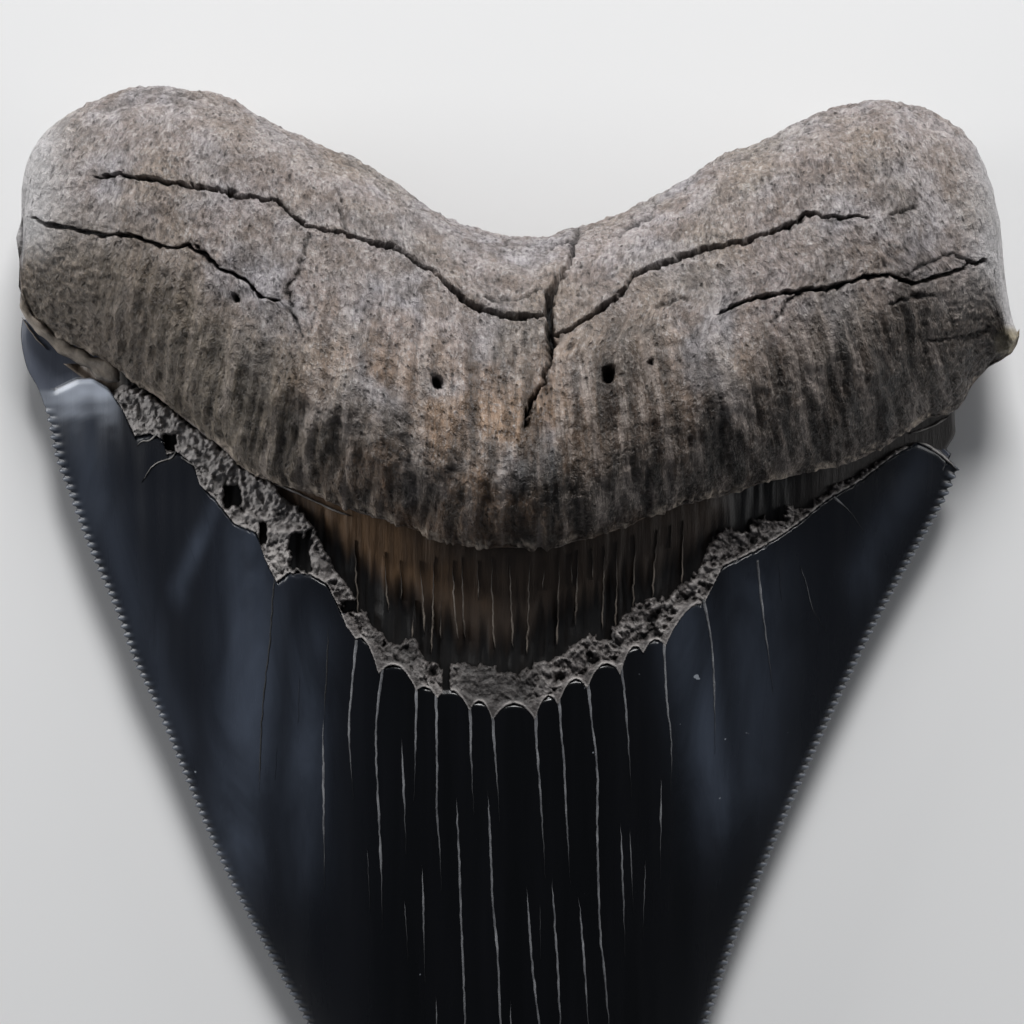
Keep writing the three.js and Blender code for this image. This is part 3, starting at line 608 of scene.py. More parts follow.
def loop_normals(grid):
    """Outward normals of a grid of closed loops."""
    along = np.gradient(grid, axis=0)
    around = np.roll(grid, -1, axis=1) - np.roll(grid, 1, axis=1)
    normals = np.cross(along, around)
    normals /= np.maximum(np.linalg.norm(normals, axis=-1, keepdims=True), 1e-9)
    middle = grid.mean(axis=1, keepdims=True)
    if np.sum(normals * (grid - middle)) < 0:
        normals = -normals
    return normals


def by_density(density, fine, count):
    """Values of fine at which a density, summed up, reaches even steps."""
    summed = np.concatenate([[0], np.cumsum((density[1:] + density[:-1]) / 2 * np.diff(fine))])
    return np.interp(np.linspace(0, summed[-1], count), summed, fine)


# Materials
class Paint:
    """A node material in the making."""

    def __init__(self, name):
        self.material = bpy.data.materials.new(name)
        self.material.use_nodes = True
        self.tree = self.material.node_tree
        self.shader = self.tree.nodes["Principled BSDF"]

    def feed(self, socket, value):
        if isinstance(value, bpy.types.NodeSocket):
            self.tree.links.new(value, socket)
        else:
            socket.default_value = value

    def node(self, kind, inputs, **settings):
        made = self.tree.nodes.new(kind)
        for key, value in settings.items():
            setattr(made, key, value)
        for socket, value in inputs.items():
            self.feed(made.inputs[socket], value)
        return made

    def mark(self, name, output="Fac"):
        return self.node("ShaderNodeAttribute", {}, attribute_name=name).outputs[output]

    def place(self, scale):
        """The spot on the object, stretched by a scale in spans per millimetre."""
        spot = self.node("ShaderNodeTexCoord", {}).outputs["Object"]
        per_metre = [value / MILLIMETRE for value in scale]
        return self.node("ShaderNodeVectorMath", {0: spot, 1: per_metre}, operation="MULTIPLY").outputs[0]

    def stretched(self, vector, scale):
        return self.node("ShaderNodeVectorMath", {0: vector, 1: scale}, operation="MULTIPLY").outputs[0]

    def noise(self, vector, detail=3, roughness=0.55, distortion=0.0):
        sockets = {
            "Vector": vector,
            "Scale": 1,
            "Detail": detail,
            "Roughness": roughness,
            "Distortion": distortion,
        }
        return self.node("ShaderNodeTexNoise", sockets).outputs["Fac"]

    def creases(self, vector, width):
        """Thin winding lines: 0 on a line and 1 between lines."""
        folded = self.math("PINGPONG", self.noise(vector, 3, 0.6, 0.4), 0.5)
        return self.levels(folded, 0.5 - width, 0.5, 1, 0)

    def cells(self, vector):
        return self.node("ShaderNodeTexVoronoi", {"Vector": vector, "Scale": 1}).outputs["Distance"]

    def levels(self, value, low, high, to_low=0.0, to_high=1.0):
        sockets = {"Value": value, "From Min": low, "From Max": high, "To Min": to_low, "To Max": to_high}
        return self.node("ShaderNodeMapRange", sockets).outputs[0]

    def math(self, operation, a, b):
        return self.node("ShaderNodeMath", {0: a, 1: b}, operation=operation, use_clamp=True).outputs[0]

    def mix(self, share, a, b, blend="MIX"):
        settings = {"data_type": "RGBA", "blend_type": blend, "clamp_result": True}
        return self.node("ShaderNodeMix", {0: share, 6: a, 7: b}, **settings).outputs[2]

    def bump(self, height, distance, strength=1.0, under=None):
        sockets = {"Height": height, "Distance": distance * MILLIMETRE, "Strength": strength}
        if under is not None:
            sockets["Normal"] = under
        return self.node("ShaderNodeBump", sockets).outputs["Normal"]

    def finish(self, **sockets):
        for name, value in sockets.items():
            self.feed(self.shader.inputs[name.replace("_", " ")], value)
        return self.material


def tint(red, green, blue):
    """A colour given as screen values from 0 to 255."""
    shares = np.array([red, green, blue]) / 255
    linear = np.where(shares < 0.04045, shares / 12.92, ((shares + 0.055) / 1.055) ** 2.4)
    return (*linear.tolist(), 1.0)


def upper_bone(paint, grain, speckle, warmth):
    """Colour of the pale upper bone, with painted glints on its grain."""
    patches = paint.levels(paint.noise(paint.place((0.09, 0.09, 0.09)), 4, 0.6), 0.4, 0.62)
    mottle = paint.noise(paint.place((0.42, 0.34, 0.4)), 4, 0.65, 0.6)
    colour = paint.mix(patches, tint(190, 184, 187), tint(172, 161, 152))
    colour = paint.mix(paint.levels(mottle, 0.38, 0.56, 0.66, 0), colour, tint(104, 94, 88))
    colour = paint.mix(warmth, colour, tint(166, 138, 114))
    colour = paint.mix(paint.levels(grain, 0.34, 0.56), paint.mix(0.7, colour, tint(42, 37, 35)), colour)
    # Painted glints: near-white specks from the speckle noise, stronger where the mottle is high.
    lit = paint.levels(mottle, 0.4, 0.6, 0.25, 0.7)
    painted_glints = paint.math("MULTIPLY", paint.levels(speckle, 0.5, 0.68), lit)
    return paint.mix(painted_glints, colour, tint(216, 211, 209))


def flank_bone_and_shade(paint, flow, strands, grain, speckle, warmth):
    """Colour of the stringy lower flank: its own darker, streaky tone, partly painted shade where the
    flank turns down away from the top light, with painted glints.
    """
    streaks = paint.levels(paint.noise(paint.stretched(flow, (0.42, 0.05, 1)), 4, 0.6), 0.42, 0.6)
    dark = paint.mix(paint.levels(strands, 0.38, 0.62), tint(33, 29, 26), tint(104, 90, 79))
    dark = paint.mix(warmth, dark, tint(122, 94, 70))
    dark = paint.mix(paint.math("MULTIPLY", streaks, 0.5), dark, tint(162, 146, 132))
    dark = paint.mix(paint.mark("olive"), dark, tint(142, 130, 114))
    dark = paint.mix(paint.mark("deep"), dark, tint(36, 31, 29))
    dark = paint.mix(paint.levels(grain, 0.34, 0.56), paint.mix(0.7, dark, tint(14, 12, 11)), dark)
    # Painted glints: pale specks from the speckle noise.
    return paint.mix(paint.levels(speckle, 0.5, 0.68, 0, 0.6), dark, tint(176, 165, 156))


def paint_root():
    paint = Paint("root_bone")
    flow = paint.mark("flow", "Vector")

    # Textures, most of them stretched along the bone's grain
    blotches = paint.levels(paint.noise(paint.place((0.13, 0.11, 0.12)), 3, 0.55), 0.4, 0.56)
    warmth = paint.math("MULTIPLY", blotches, paint.mark("warm"))
    along = paint.noise(paint.stretched(flow, (2.1, 0.85, 1)), 5, 0.72, 0.1)
    grain = paint.mix(paint.mark("even"), along, paint.noise(paint.place((1.4, 1.3, 1.4)), 5, 0.72, 0.1))
    ribs = paint.noise(paint.stretched(flow, (1.6, 0.22, 1)), 5, 0.66, 0.1)
    grain = paint.mix(paint.mark("stringy"), grain, ribs)
    speckle = paint.noise(paint.place((2.8, 1.9, 2.4)), 4, 0.66, 0.1)
    strands = paint.noise(paint.stretched(flow, (1.1, 0.13, 1)), 5, 0.66, 0.25)
    folds = paint.creases(paint.stretched(flow, (0.75, 0.5, 1)), 0.035)
    folds = paint.mix(paint.mark("even"), folds, paint.creases(paint.place((0.6, 0.55, 0.6)), 0.035))
    furrows = paint.noise(paint.stretched(flow, (0.44, 0.045, 1)), 4, 0.62)
    pits = paint.levels(paint.cells(paint.stretched(flow, (1.3, 0.95, 1))), 0.1, 0.27, 0.5, 1)
    creased = paint.math("MULTIPLY", paint.levels(folds, 0, 1, 0.84, 1), pits)

    colour = upper_bone(paint, grain, speckle, warmth)
    dark = flank_bone_and_shade(paint, flow, strands, grain, speckle, warmth)
    # The lower flank's darker colour, partly painted shade.
    colour = paint.mix(paint.mark("flank"), colour, dark)
    # Paler, smoother lobe ends, partly a painted highlight where the rounded ends catch the side lights.
    colour = paint.mix(paint.mark("pale"), colour, tint(216, 214, 215))
    colour = paint.mix(paint.mark("fracture"), colour, tint(176, 164, 140))

    # Painted shade in hollows, creases and furrows, a painted highlight on the furrows' ridges, then the
    # broken lip, and painted shade inside the cracks
    hollow = paint.levels(paint.mark("relief"), -0.9, 0.1, 0.62, 1)
    colour = paint.mix(1, colour, hollow, "MULTIPLY")
    colour = paint.mix(1, colour, creased, "MULTIPLY")
    furrowed = paint.mix(1, colour, paint.levels(furrows, 0.42, 0.54, 0.3, 1), "MULTIPLY")
    furrowed = paint.mix(paint.levels(furrows, 0.53, 0.61, 0, 0.5), furrowed, tint(184, 172, 164))
    colour = paint.mix(paint.mark("stringy"), colour, furrowed)
    colour = paint.mix(paint.mark("lip"), colour, tint(205, 190, 174))
    colour = paint.mix(paint.mark("crack"), colour, tint(12, 10, 10))

    bump = paint.bump(grain, 0.75, 1)
    bump = paint.bump(creased, 0.3, 1, bump)
    bump = paint.bump(strands, 0.3, 0.6, bump)
    bump = paint.bump(speckle, 0.25, 0.9, bump)
    roughness = paint.levels(paint.mark("pale"), 0, 1, 0.44, 0.36)
    return paint.finish(Base_Color=colour, Roughness=roughness, Normal=bump)


def paint_enamel():
    paint = Paint("enamel")
    streaks = paint.noise(paint.place((0.3, 0.02, 0.1)), 4, 0.55)
    colour = paint.mix(paint.levels(streaks, 0.35, 0.7), tint(4, 5, 7), tint(9, 10, 14))
    cloud = paint.levels(paint.noise(paint.place((0.16, 0.05, 0.1)), 4, 0.6, 0.6), 0.36, 0.66, 0.35, 1)
    # Lighter enamel towards both sides: painted sheen on the crown's sloping flanks.
    colour = paint.mix(paint.mark("left"), colour, tint(22, 25, 32))
    colour = paint.mix(paint.math("MULTIPLY", paint.mark("sheen"), cloud), colour, tint(72, 80, 94))
    colour = paint.mix(paint.mark("upper"), colour, tint(94, 99, 111))
    # Painted highlight on the rounded left shoulder lobe just under the rim.
    colour = paint.mix(paint.mark("lobe"), colour, tint(212, 220, 234))
    specks = paint.levels(paint.noise(paint.place((0.9, 0.9, 0.9)), 2, 0.4), 0.785, 0.81)
    colour = paint.mix(specks, colour, tint(130, 135, 142))
    # Painted glints on the tips of the serrations.
    colour = paint.mix(paint.mark("tooth_tip"), colour, tint(120, 126, 136))
    colour = paint.mix(paint.mark("fracture"), colour, tint(84, 82, 84))
    ripple = paint.noise(paint.place((0.5, 0.04, 0.3)), 3, 0.5)
    bump = paint.bump(ripple, 0.1, 0.3)
    bump = paint.bump(paint.noise(paint.place((3, 1.2, 3)), 3, 0.6), 0.015, 0.5, bump)
    roughness = paint.levels(streaks, 0.3, 0.7, 0.25, 0.3)
    return paint.finish(
        Base_Color=colour, Roughness=roughness, Normal=bump, Specular_IOR_Level=0.34, Coat_Weight=0.04,
        Coat_Roughness=0.25,
    )


def paint_dentine():
    paint = Paint("bare_dentine")
    strands = paint.noise(paint.place((1.4, 0.09, 0.5)), 5, 0.65)
    cloud = paint.noise(paint.place((0.12, 0.12, 0.12)), 3, 0.5)
    brown = paint.mix(paint.levels(cloud, 0.35, 0.62), tint(116, 88, 60), tint(80, 64, 50))
    brown = paint.mix(paint.levels(strands, 0.42, 0.68, 0, 0.45), brown, tint(44, 35, 28))
    dark = paint.mix(paint.levels(strands, 0.45, 0.75), tint(11, 10, 10), tint(30, 26, 24))
    brown = paint.mix(paint.mark("shade"), brown, tint(56, 47, 40))
    colour = paint.mix(paint.mark("brown"), dark, brown)
    colour = paint.mix(paint.mark("neck"), colour, tint(38, 33, 30))
    colour = paint.mix(paint.mark("beige"), colour, tint(112, 100, 88))
    bump = paint.bump(strands, 0.25, 0.5)
    bump = paint.bump(paint.noise(paint.place((4, 2, 4)), 3, 0.6), 0.04, 0.7, bump)
    return paint.finish(Base_Color=colour, Roughness=0.48, Normal=bump)


def paint_crust():
    paint = Paint("crust")
    fine = paint.noise(paint.place((2.6, 2.6, 2.6)), 4, 0.7)
    granules = paint.cells(paint.place((2.6, 2.6, 2.6)))
    colour = paint.mix(paint.levels(fine, 0.36, 0.64), tint(48, 44, 43), tint(108, 102, 100))
    # Lighter crust on the left: partly its own pale crumbs, partly painted light where the root shades
    # it.
    colour = paint.mix(paint.mark("left"), colour, tint(160, 155, 152))
    colour = paint.mix(paint.levels(granules, 0.5, 0.2, 0, 0.5), colour, tint(120, 114, 110))
    # Painted highlights on the crests and the rim's edge; painted shade in the pits and where the crust
    # is missing.
    colour = paint.mix(paint.mark("crest"), colour, tint(168, 163, 160))
    colour = paint.mix(paint.mark("pit"), colour, tint(17, 15, 14))
    bump = paint.bump(fine, 0.2, 1)
    bump = paint.bump(granules, 0.16, -0.8, bump)
    return paint.finish(Base_Color=colour, Roughness=0.5, Normal=bump)


def paint_filling(name, dull, bright):
    paint = Paint(name)
    broken = paint.noise(paint.place((0.8, 0.35, 0.8)), 4, 0.7)
    colour = paint.mix(paint.levels(broken, 0.35, 0.65), dull, bright)
    colour = paint.mix(paint.mark("fade"), tint(16, 17, 21), colour)
    bump = paint.bump(paint.noise(paint.place((5, 5, 5)), 3, 0.6), 0.05)
    return paint.finish(Base_Color=colour, Roughness=0.55, Normal=bump)


# Root: dense cross-sections from the left lobe to the right, each round the bulge and back
ROOT_SECTIONS = 384
SECTION_SAMPLES = 6000
STEP_SAMPLES = 900
LINGUAL_STEPS = 228
WALL_STEPS = 6
WALL_FOOT_SHARE = 0.55
UNDERSIDE_STEPS = 24
LEDGE_OVERHANG = 0.9
ROOT_INSET = 0.25
BACK_FLANK = 0.15
BROKEN_CORNER = (54, 18.2)
LOBE_END_Y = (27, 19)


def root_sections():
    """Where the root's cross-sections are: close together at its ends and at the upright crack."""
    left = ROOT_TOP_PLAN[0][0]
    right = ROOT_TOP_PLAN[-1][0]
    fine = np.linspace(left, right, SECTION_SAMPLES)
    from_end = np.minimum(fine - left, right - fine)
    density = 1 + 1.2 / np.sqrt(from_end + 0.01)
    density += 1.2 * np.exp(-(((fine - UPRIGHT_CRACK_X) / 2) ** 2))
    return by_density(density, fine, ROOT_SECTIONS + 2)[1:-1]


def section_steps(x, foot, top):
    """Shares of the way up each section, even along its curve and closer at each level crack."""
    fine = np.linspace(0, 1, STEP_SAMPLES)
    steps = []
    for at, low, high in zip(x, foot, top):
        y = mix(low, high, fine)
        z = root_lingual(np.full_like(y, at), y, fine)
        pull = np.ones_like(fine)
        for number in LEVEL_CRACKS:
            path = np.array(ROOT_CRACKS[number][1])
            near = ease(path[0, 0] - 2.5, path[0, 0], at) * (1 - ease(path[-1, 0], path[-1, 0] + 2.5, at))
            crack_y = np.interp(at, path[:, 0], path[:, 1])
            pull += 3 * near * np.exp(-(((y - crack_y) / 0.75) ** 2))
        length = np.hypot(np.diff(y), np.diff(z)) * pull[1:]
        travelled = np.concatenate([[0], np.cumsum(length)])
        steps.append(np.interp(np.linspace(travelled[-1], 0, LINGUAL_STEPS), travelled, fine))
    return np.array(steps)


def crack_marks(x, y):
    """How deep the root is carved at each place, and how far that is inside a crack from 0 to 1."""
    fray = flat(x, y)
    warped_x = x + 0.3 * noise(fray * 0.9) + 0.16 * noise(fray * 2.1 + 5)
    warped_y = y + 0.3 * noise(fray * 0.9 + 31) + 0.2 * noise(fray * 2.1 + 77)
    depth = np.zeros(x.shape)
    inside = np.zeros(x.shape)
    for deepest, path in ROOT_CRACKS:
        distance, width = path_distance(warped_x, warped_y, path)
        open_share = 1 - ease(0.16, 0.46, distance / width)
        depth = np.maximum(depth, deepest * open_share)
        inside = np.maximum(inside, open_share)
    for path in FINE_CRACKS:
        distance, _ = path_distance(warped_x, warped_y, path)
        open_share = 1 - ease(0.1, 0.75, distance / FINE_CRACK_WIDTH)
        depth = np.maximum(depth, FINE_CRACK_DEPTH * open_share)
        inside = np.maximum(inside, 0.75 * open_share)
    for hole_x, hole_y, radius, deepest in NUTRIENT_HOLES:
        distance = np.hypot(x - hole_x, (y - hole_y) / 1.25) / radius
        open_share = 1 - ease(0.55, 1.05, distance)
        depth = np.maximum(depth, deepest * open_share)
        inside = np.maximum(inside, open_share)
    return depth, inside


def flank_share(x, up):
    """How far a place belongs to the root's stringy lower flank, which is painted darker, partly as shade
    where the flank turns away from the top light.
    """
    left = ease(8, 30, -x)
    right = ease(14, 34, x)
    beside = np.exp(-(((x - 11) / 7) ** 2))
    far_left = ease(28, 42, -x)
    top = 0.2 + 0.18 * left + 0.14 * far_left + 0.26 * right + 0.46 * beside
    stray = 0.08 * noise(flat(x * 0.35, up * 3, 2)) + 0.05 * noise(flat(x * 1.3, up * 6, 9))
    return 1 - ease(top - 0.16, top + 0.14, up + stray)


def root_plan():
    """Plan places, heights and shares of the way up, for the closed loop round each section."""
    x = root_sections()
    top = crossing(ROOT_TOP, 0, x)
    foot = crossing(ROOT_FOOT, 0, x)
    up = section_steps(x, foot, top)
    across = np.repeat(x[:, None], LINGUAL_STEPS, axis=1)
    y = mix(foot[:, None], top[:, None], up)
    z = root_lingual(across, y, up)
    frayed = 0.2 * noise(flat(across * 0.5, 0)) + 0.16 * noise(flat(across * 2.3, 0, 4))
    y = y + frayed * (1 - ease(0, 0.05, up)) * (1 - towards_end(across) ** 6)

    wall = np.linspace(0, 1, WALL_STEPS + 1)[1:]
    lip_z = z[:, -1:]
    wall_foot = mix(root_underside(x, 0.0)[:, None], lip_z, WALL_FOOT_SHARE)
    wall_y = mix(y[:, -1:], (foot + LEDGE_OVERHANG)[:, None], wall)
    wall_z = mix(lip_z, wall_foot, wall)

    under_up = np.linspace(0.02, 0.985, UNDERSIDE_STEPS) ** 0.9
    under_y = mix(foot[:, None], top[:, None], under_up)
    under_z = root_underside(x[:, None], under_up[None, :])

    plan_y = np.hstack([y, wall_y, under_y])
    plan_x = np.repeat(x[:, None], plan_y.shape[1], axis=1)
    loop_up = np.hstack([up, np.zeros_like(wall_y), np.broadcast_to(under_up, under_y.shape)])
    return plan_x, plan_y, np.hstack([z, wall_z, under_z]), loop_up


def root_flow(grid, plan_y):
    """Places measured along the surface, which fan out towards the crown as the bone's grain does."""
    across = np.cumsum(np.linalg.norm(np.diff(grid, axis=0, prepend=grid[:1]), axis=-1), axis=0)
    across = across - across[ROOT_SECTIONS // 2]
    fan = across / (1 + 0.007 * (30 - plan_y))
    steps = np.linalg.norm(np.diff(grid, axis=1, prepend=grid[:, :1]), axis=-1)
    return np.stack([fan, -np.cumsum(steps, axis=1), np.zeros_like(fan)], axis=-1)


def colour_marks(x, y, up, flank, even):
    """Where the root is stringy, dark, warm, olive, or freshly broken."""
    middle = np.exp(-((x / 21) ** 2)) * (1 - ease(0.48, 0.86, up))
    ribbed = 0.8 * flank * (1 - 0.6 * ease(27, 38, -x))
    corner_x, corner_y = BROKEN_CORNER
    return {
        "stringy": np.maximum(ribbed, 0.95 * middle) * (1 - even),
        "deep": 0.62 * ease(1, 12, x),
        "warm": np.exp(-((x / 24) ** 2)) * (1 - ease(0.3, 0.75, up)) + 0.25,
        "olive": 0.85 * ease(14, 30, -x) * (1 - 0.4 * ease(32, 42, -x)),
        "fracture": 1 - ease(1.2, 2.2, np.hypot(x - corner_x, y - corner_y)),
    }


def make_root():
    plan_x, plan_y, height, up = root_plan()
    grid = lifted(plan_x, plan_y, height)
    normals = loop_normals(grid)
    flow = root_flow(grid, plan_y)
    end = towards_end(plan_x)
    lingual = np.arange(plan_y.shape[1]) < LINGUAL_STEPS
    flank = np.where(lingual, flank_share(plan_x, up), BACK_FLANK)
    even = np.where(lingual, np.maximum(ease(0.78, 0.92, end), ease(0.86, 0.98, up)), 1)

    # Relief: grain that follows the flow, and plain bumps where the flow bunches up
    lumps = fractal(grid * 0.14, 3)
    even_wrinkles = fractal(grid * 1.15 + 3, 2, 0.7)
    wrinkles = mix(fractal(flow * (1.5, 0.75, 1) + 3, 2, 0.7), even_wrinkles, even)
    strands = mix(fractal(flow * (1.1, 0.16, 1) + 50, 3, 0.6), even_wrinkles, even)
    grooves = fractal(flow * (0.42, 0.05, 1) + 80, 2, 0.6)
    knobs = fractal(grid * 0.5 + 30, 2, 0.6)
    pores = ease(0.5, 0.8, noise(grid * 1.7 + 9))
    smoothing = ease(0.86, 1.0, end) * ease(0.25, 0.6, up)
    calm = 1 - 0.75 * smoothing
    grooved = np.maximum(flank, 0.6 * (1 - ease(0.3, 0.62, up))) * (1 - even)
    fibres = mix(0.22 * wrinkles * calm, 0.32 * strands + 0.12 * wrinkles + 0.3 * grooves, grooved)
    fibres = fibres + 0.12 * knobs * calm
    depth, inside = (np.where(lingual, carved, 0) for carved in crack_marks(plan_x, plan_y))
    push = 0.3 * lumps + fibres - 0.12 * pores * calm
    push = push - ROOT_INSET - depth
    push = np.where(lingual, push, 0.4 * push)
    rest = np.where(lingual, 1, ease(0, 0.5, height - ROOT_UNDERSIDE))
    grid = grid + normals * (push * np.maximum(rest, 0.35))[..., None]

    crumbs = noise(flat(plan_x * 0.4, 0, 14)) + 0.7 * noise(flat(plan_x * 2.4, plan_y * 2.4))
    marks = {
        "even": even,
        "flow": flow,
        "flank": flank,
        # pale: lobe ends painted lighter, partly as a highlight
        "pale": smoothing * 0.8,
        "relief": mix(wrinkles, strands, grooved) - 0.8 * pores,
        "crack": inside,
        "lip": np.where(lingual, (1 - ease(0.008, 0.028, up)) * ease(-0.1, 0.5, crumbs), 0),
        **colour_marks(plan_x, plan_y, up, flank, even),
    }
    points = grid.reshape(-1, 3)
    ends = lifted(plan_x[[0, -1], 0], np.array(LOBE_END_Y), np.full(2, ROOT_RIM))
    marks = {name: with_ends(values, len(points)) for name, values in marks.items()}
    faces = skin_faces(*plan_y.shape)
    return make_piece("root", np.vstack([points, ends]), faces, paint_root(), marks)


# Bare dentine: the core that shows between the ledge and the torn rim, and as the neck
CORE_TOP = 16
CORE_FOOT = -28
CORE_ROWS = 190
CORE_COLUMNS = 400
CORE_LABIAL_COLUMNS = 12
CORE_LEFT_PLAN = [(-46, 12), (-44.9, 13.1), (-46.2, 14.3), (-48.6, 16)]
CORE_INSET = 0.7


def brown_share(x, y, softness=2):
    """How far a place belongs to the smooth brown band under the ledge, which ends in fingers."""
    foot = crossing(BROWN_BAND_FOOT, 0, x)
    fingers = 1.5 * noise(flat(x * 0.8, 0, 6)) + 0.9 * noise(flat(x * 2.3, y * 0.06, 2))
    inside = ease(-softness, softness, y - foot + fingers)
    return inside * ease(-30, -27, x) * (1 - ease(21, 25, x))


def make_dentine():
    y = np.linspace(CORE_TOP, CORE_FOOT, CORE_ROWS)[:, None]
    corner = np.array(CORE_LEFT_PLAN)
    left = np.maximum(crossing(LEFT_EDGE, 1, y) + CORE_INSET, np.interp(y, corner[:, 1], corner[:, 0]))
    neck = crossing(smooth(NECK_PLAN, SHORT_CURVE_STEPS), 1, y)
    right = np.where(y > NECK_PLAN[-1][1], neck, crossing(RIGHT_EDGE, 1, y) - CORE_INSET)
    middle = edge_height(y) - 0.2

    # Lingual face, worn into columns below the brown band
    share = np.linspace(0, 1, CORE_COLUMNS)[None, :]
    x = mix(left, right, share)
    y_lingual = np.broadcast_to(y, x.shape)
    surface = np.maximum(crown_top(x, y_lingual) - ENAMEL_THICKNESS, middle + 0.4)
    brown = brown_share(x, y_lingual)
    strands = fractal(flat(x * 0.9, y_lingual * 0.07, 1), 3, 0.6)
    columns = noise(flat(x * 0.62, y_lingual * 0.03, 5))
    carve = (1 - brown) * (0.25 * strands + 0.4 * columns - 0.75) + brown * 0.07 * strands
    carve = carve * ease(0, 0.02, share) * (1 - ease(0.98, 1, share))
    neck_share = ease(28, 34, x)
    surface = surface + carve * (1 - neck_share)
    surface[:, [0, -1]] = middle

    # Labial face, under the enamel
    share_back = np.linspace(1, 0, CORE_LABIAL_COLUMNS + 2)[None, 1:-1]
    x_back = mix(left, right, share_back)
    y_back = np.broadcast_to(y, x_back.shape)
    back = np.minimum(crown_underside(x_back, y_back) + ENAMEL_THICKNESS, middle - 0.4)

    plan_x = np.hstack([x, x_back])
    plan_y = np.hstack([y_lingual, y_back])
    points = lifted(plan_x, plan_y, np.hstack([surface, back])).reshape(-1, 3)
    ends = lifted(np.zeros(2), np.array([CORE_TOP + 0.5, CORE_FOOT - 0.5]), np.full(2, CROWN_BASE / 2))
    shade = 0.85 * np.maximum(ease(-12, 1, x), ease(5, 12, -y_lingual))
    fronts = {"brown": brown, "neck": neck_share, "shade": shade, "beige": 1 - ease(-43.5, -41.5, x)}
    backs = {"brown": 0.0, "neck": 1.0, "shade": 1.0, "beige": 0.0}
    marks = {
        name: with_ends(np.hstack([front, np.full(x_back.shape, backs[name])]), len(points))
        for name, front in fronts.items()
    }
    faces = skin_faces(*plan_x.shape)
    return make_piece(
        "bare_dentine", np.vstack([points, ends]), faces, paint_dentine(), marks
    )


# Enamel: a main sheet on each face from the torn rim to the tip, and a toothed band on each side
BAND_WIDTH = 1.7
BAND_SHARE = 0.3
BAND_STEPS = (0.07, 0.17, 0.32, 0.52, 0.76)
BAND_ROWS = 1000
MAIN_COLUMNS = 400
MAIN_ROWS = 110
SHELF_ROWS = 8
SHELF_REACH = 0.6
SHELF_GAP = 0.25
SHELF_RIGHT = 40
RIM_ROUNDING = 0.3
RIM_ROUNDED_OVER = 0.7
WALL_ROWS = 3
RIM_ROW = SHELF_ROWS + WALL_ROWS
LABIAL_COLUMNS = 60
LABIAL_ROWS = 110
LABIAL_RIGHT = 47.5
TOOTH_SHARE = 0.08
RIM_SPAN = (-50.2, 47.9)
RIM_SAMPLES = 3000
RIM_TRIES = 4
TIP = (4.4, -103.7)
SHEET_FOOT = TIP[1] + 0.6
FIRST_TOOTH_LEFT = LEFT_EDGE_PLAN[4][1]
FIRST_TOOTH_RIGHT = RIGHT_EDGE_PLAN[0][1]


def serration(travelled):
    """Height of the teeth along a cutting edge, from -1 in a gap to 1 on a tip."""
    wave = np.cos(2 * np.pi * travelled / SERRATION_PITCH)
    return np.sign(wave) * np.abs(wave) ** 0.6


def edge_rows(edge, top):
    """Rows of a cutting edge from a start height to the tip: plan points and distance travelled."""
    below = edge[(edge[:, 1] <= top)]
    start = np.array([[crossing(edge, 1, top), top]])
    rows = spaced(np.vstack([start, below, [TIP]]), BAND_ROWS)
    steps = np.linalg.norm(np.diff(rows, axis=0), axis=1)
    return rows, np.concatenate([[0], np.cumsum(steps)])


def from_edge(x, y):
    """How far a place is inside the nearer cutting edge."""
    return np.maximum(np.minimum(x - crossing(LEFT_EDGE, 1, y), crossing(RIGHT_EDGE, 1, y) - x), 0)


def enamel_relief(x, y):
    """Gentle lengthwise waves of the enamel, which die out at its borders."""
    waves = 0.09 * noise(flat(x * 0.3, y * 0.025, 11)) + 0.04 * noise(flat(x * 0.9, y * 0.05, 21))
    return waves * ease(BAND_WIDTH, BAND_WIDTH + 5, from_edge(x, y)) * ease(0, 3, rim_height(x) - y)


def shoulder_height(x, y):
    """Labial enamel that shows above the torn rim: low, with a rounded border."""
    swell = 0.1 + 0.55 * (1 - np.exp(-from_edge(x, y) / 0.9)) + 0.05 * noise(flat(x * 0.5, y * 0.5))
    return np.minimum(crown_top(x, y), edge_height(y) + swell)


def sheen_marks(x, y):
    total = np.zeros(np.broadcast(x, y).shape)
    for top, foot, width, strength in SHEEN_BANDS:
        share = clamp((top[1] - y) / (top[1] - foot[1]))
        middle = mix(top[0], foot[0], share)
        beyond = np.maximum(0, np.maximum(y - top[1], foot[1] - y))
        fall = np.exp(-(((x - middle) / width) ** 2) - (beyond / (2 * width)) ** 2)
        total = np.maximum(total, strength * fall)
    return total


class Sheet:
    """A block of points: their numbers, and their places in plan."""

    def __init__(self, numbers, x, y):
        self.numbers = numbers
        self.x = x
        self.y = y


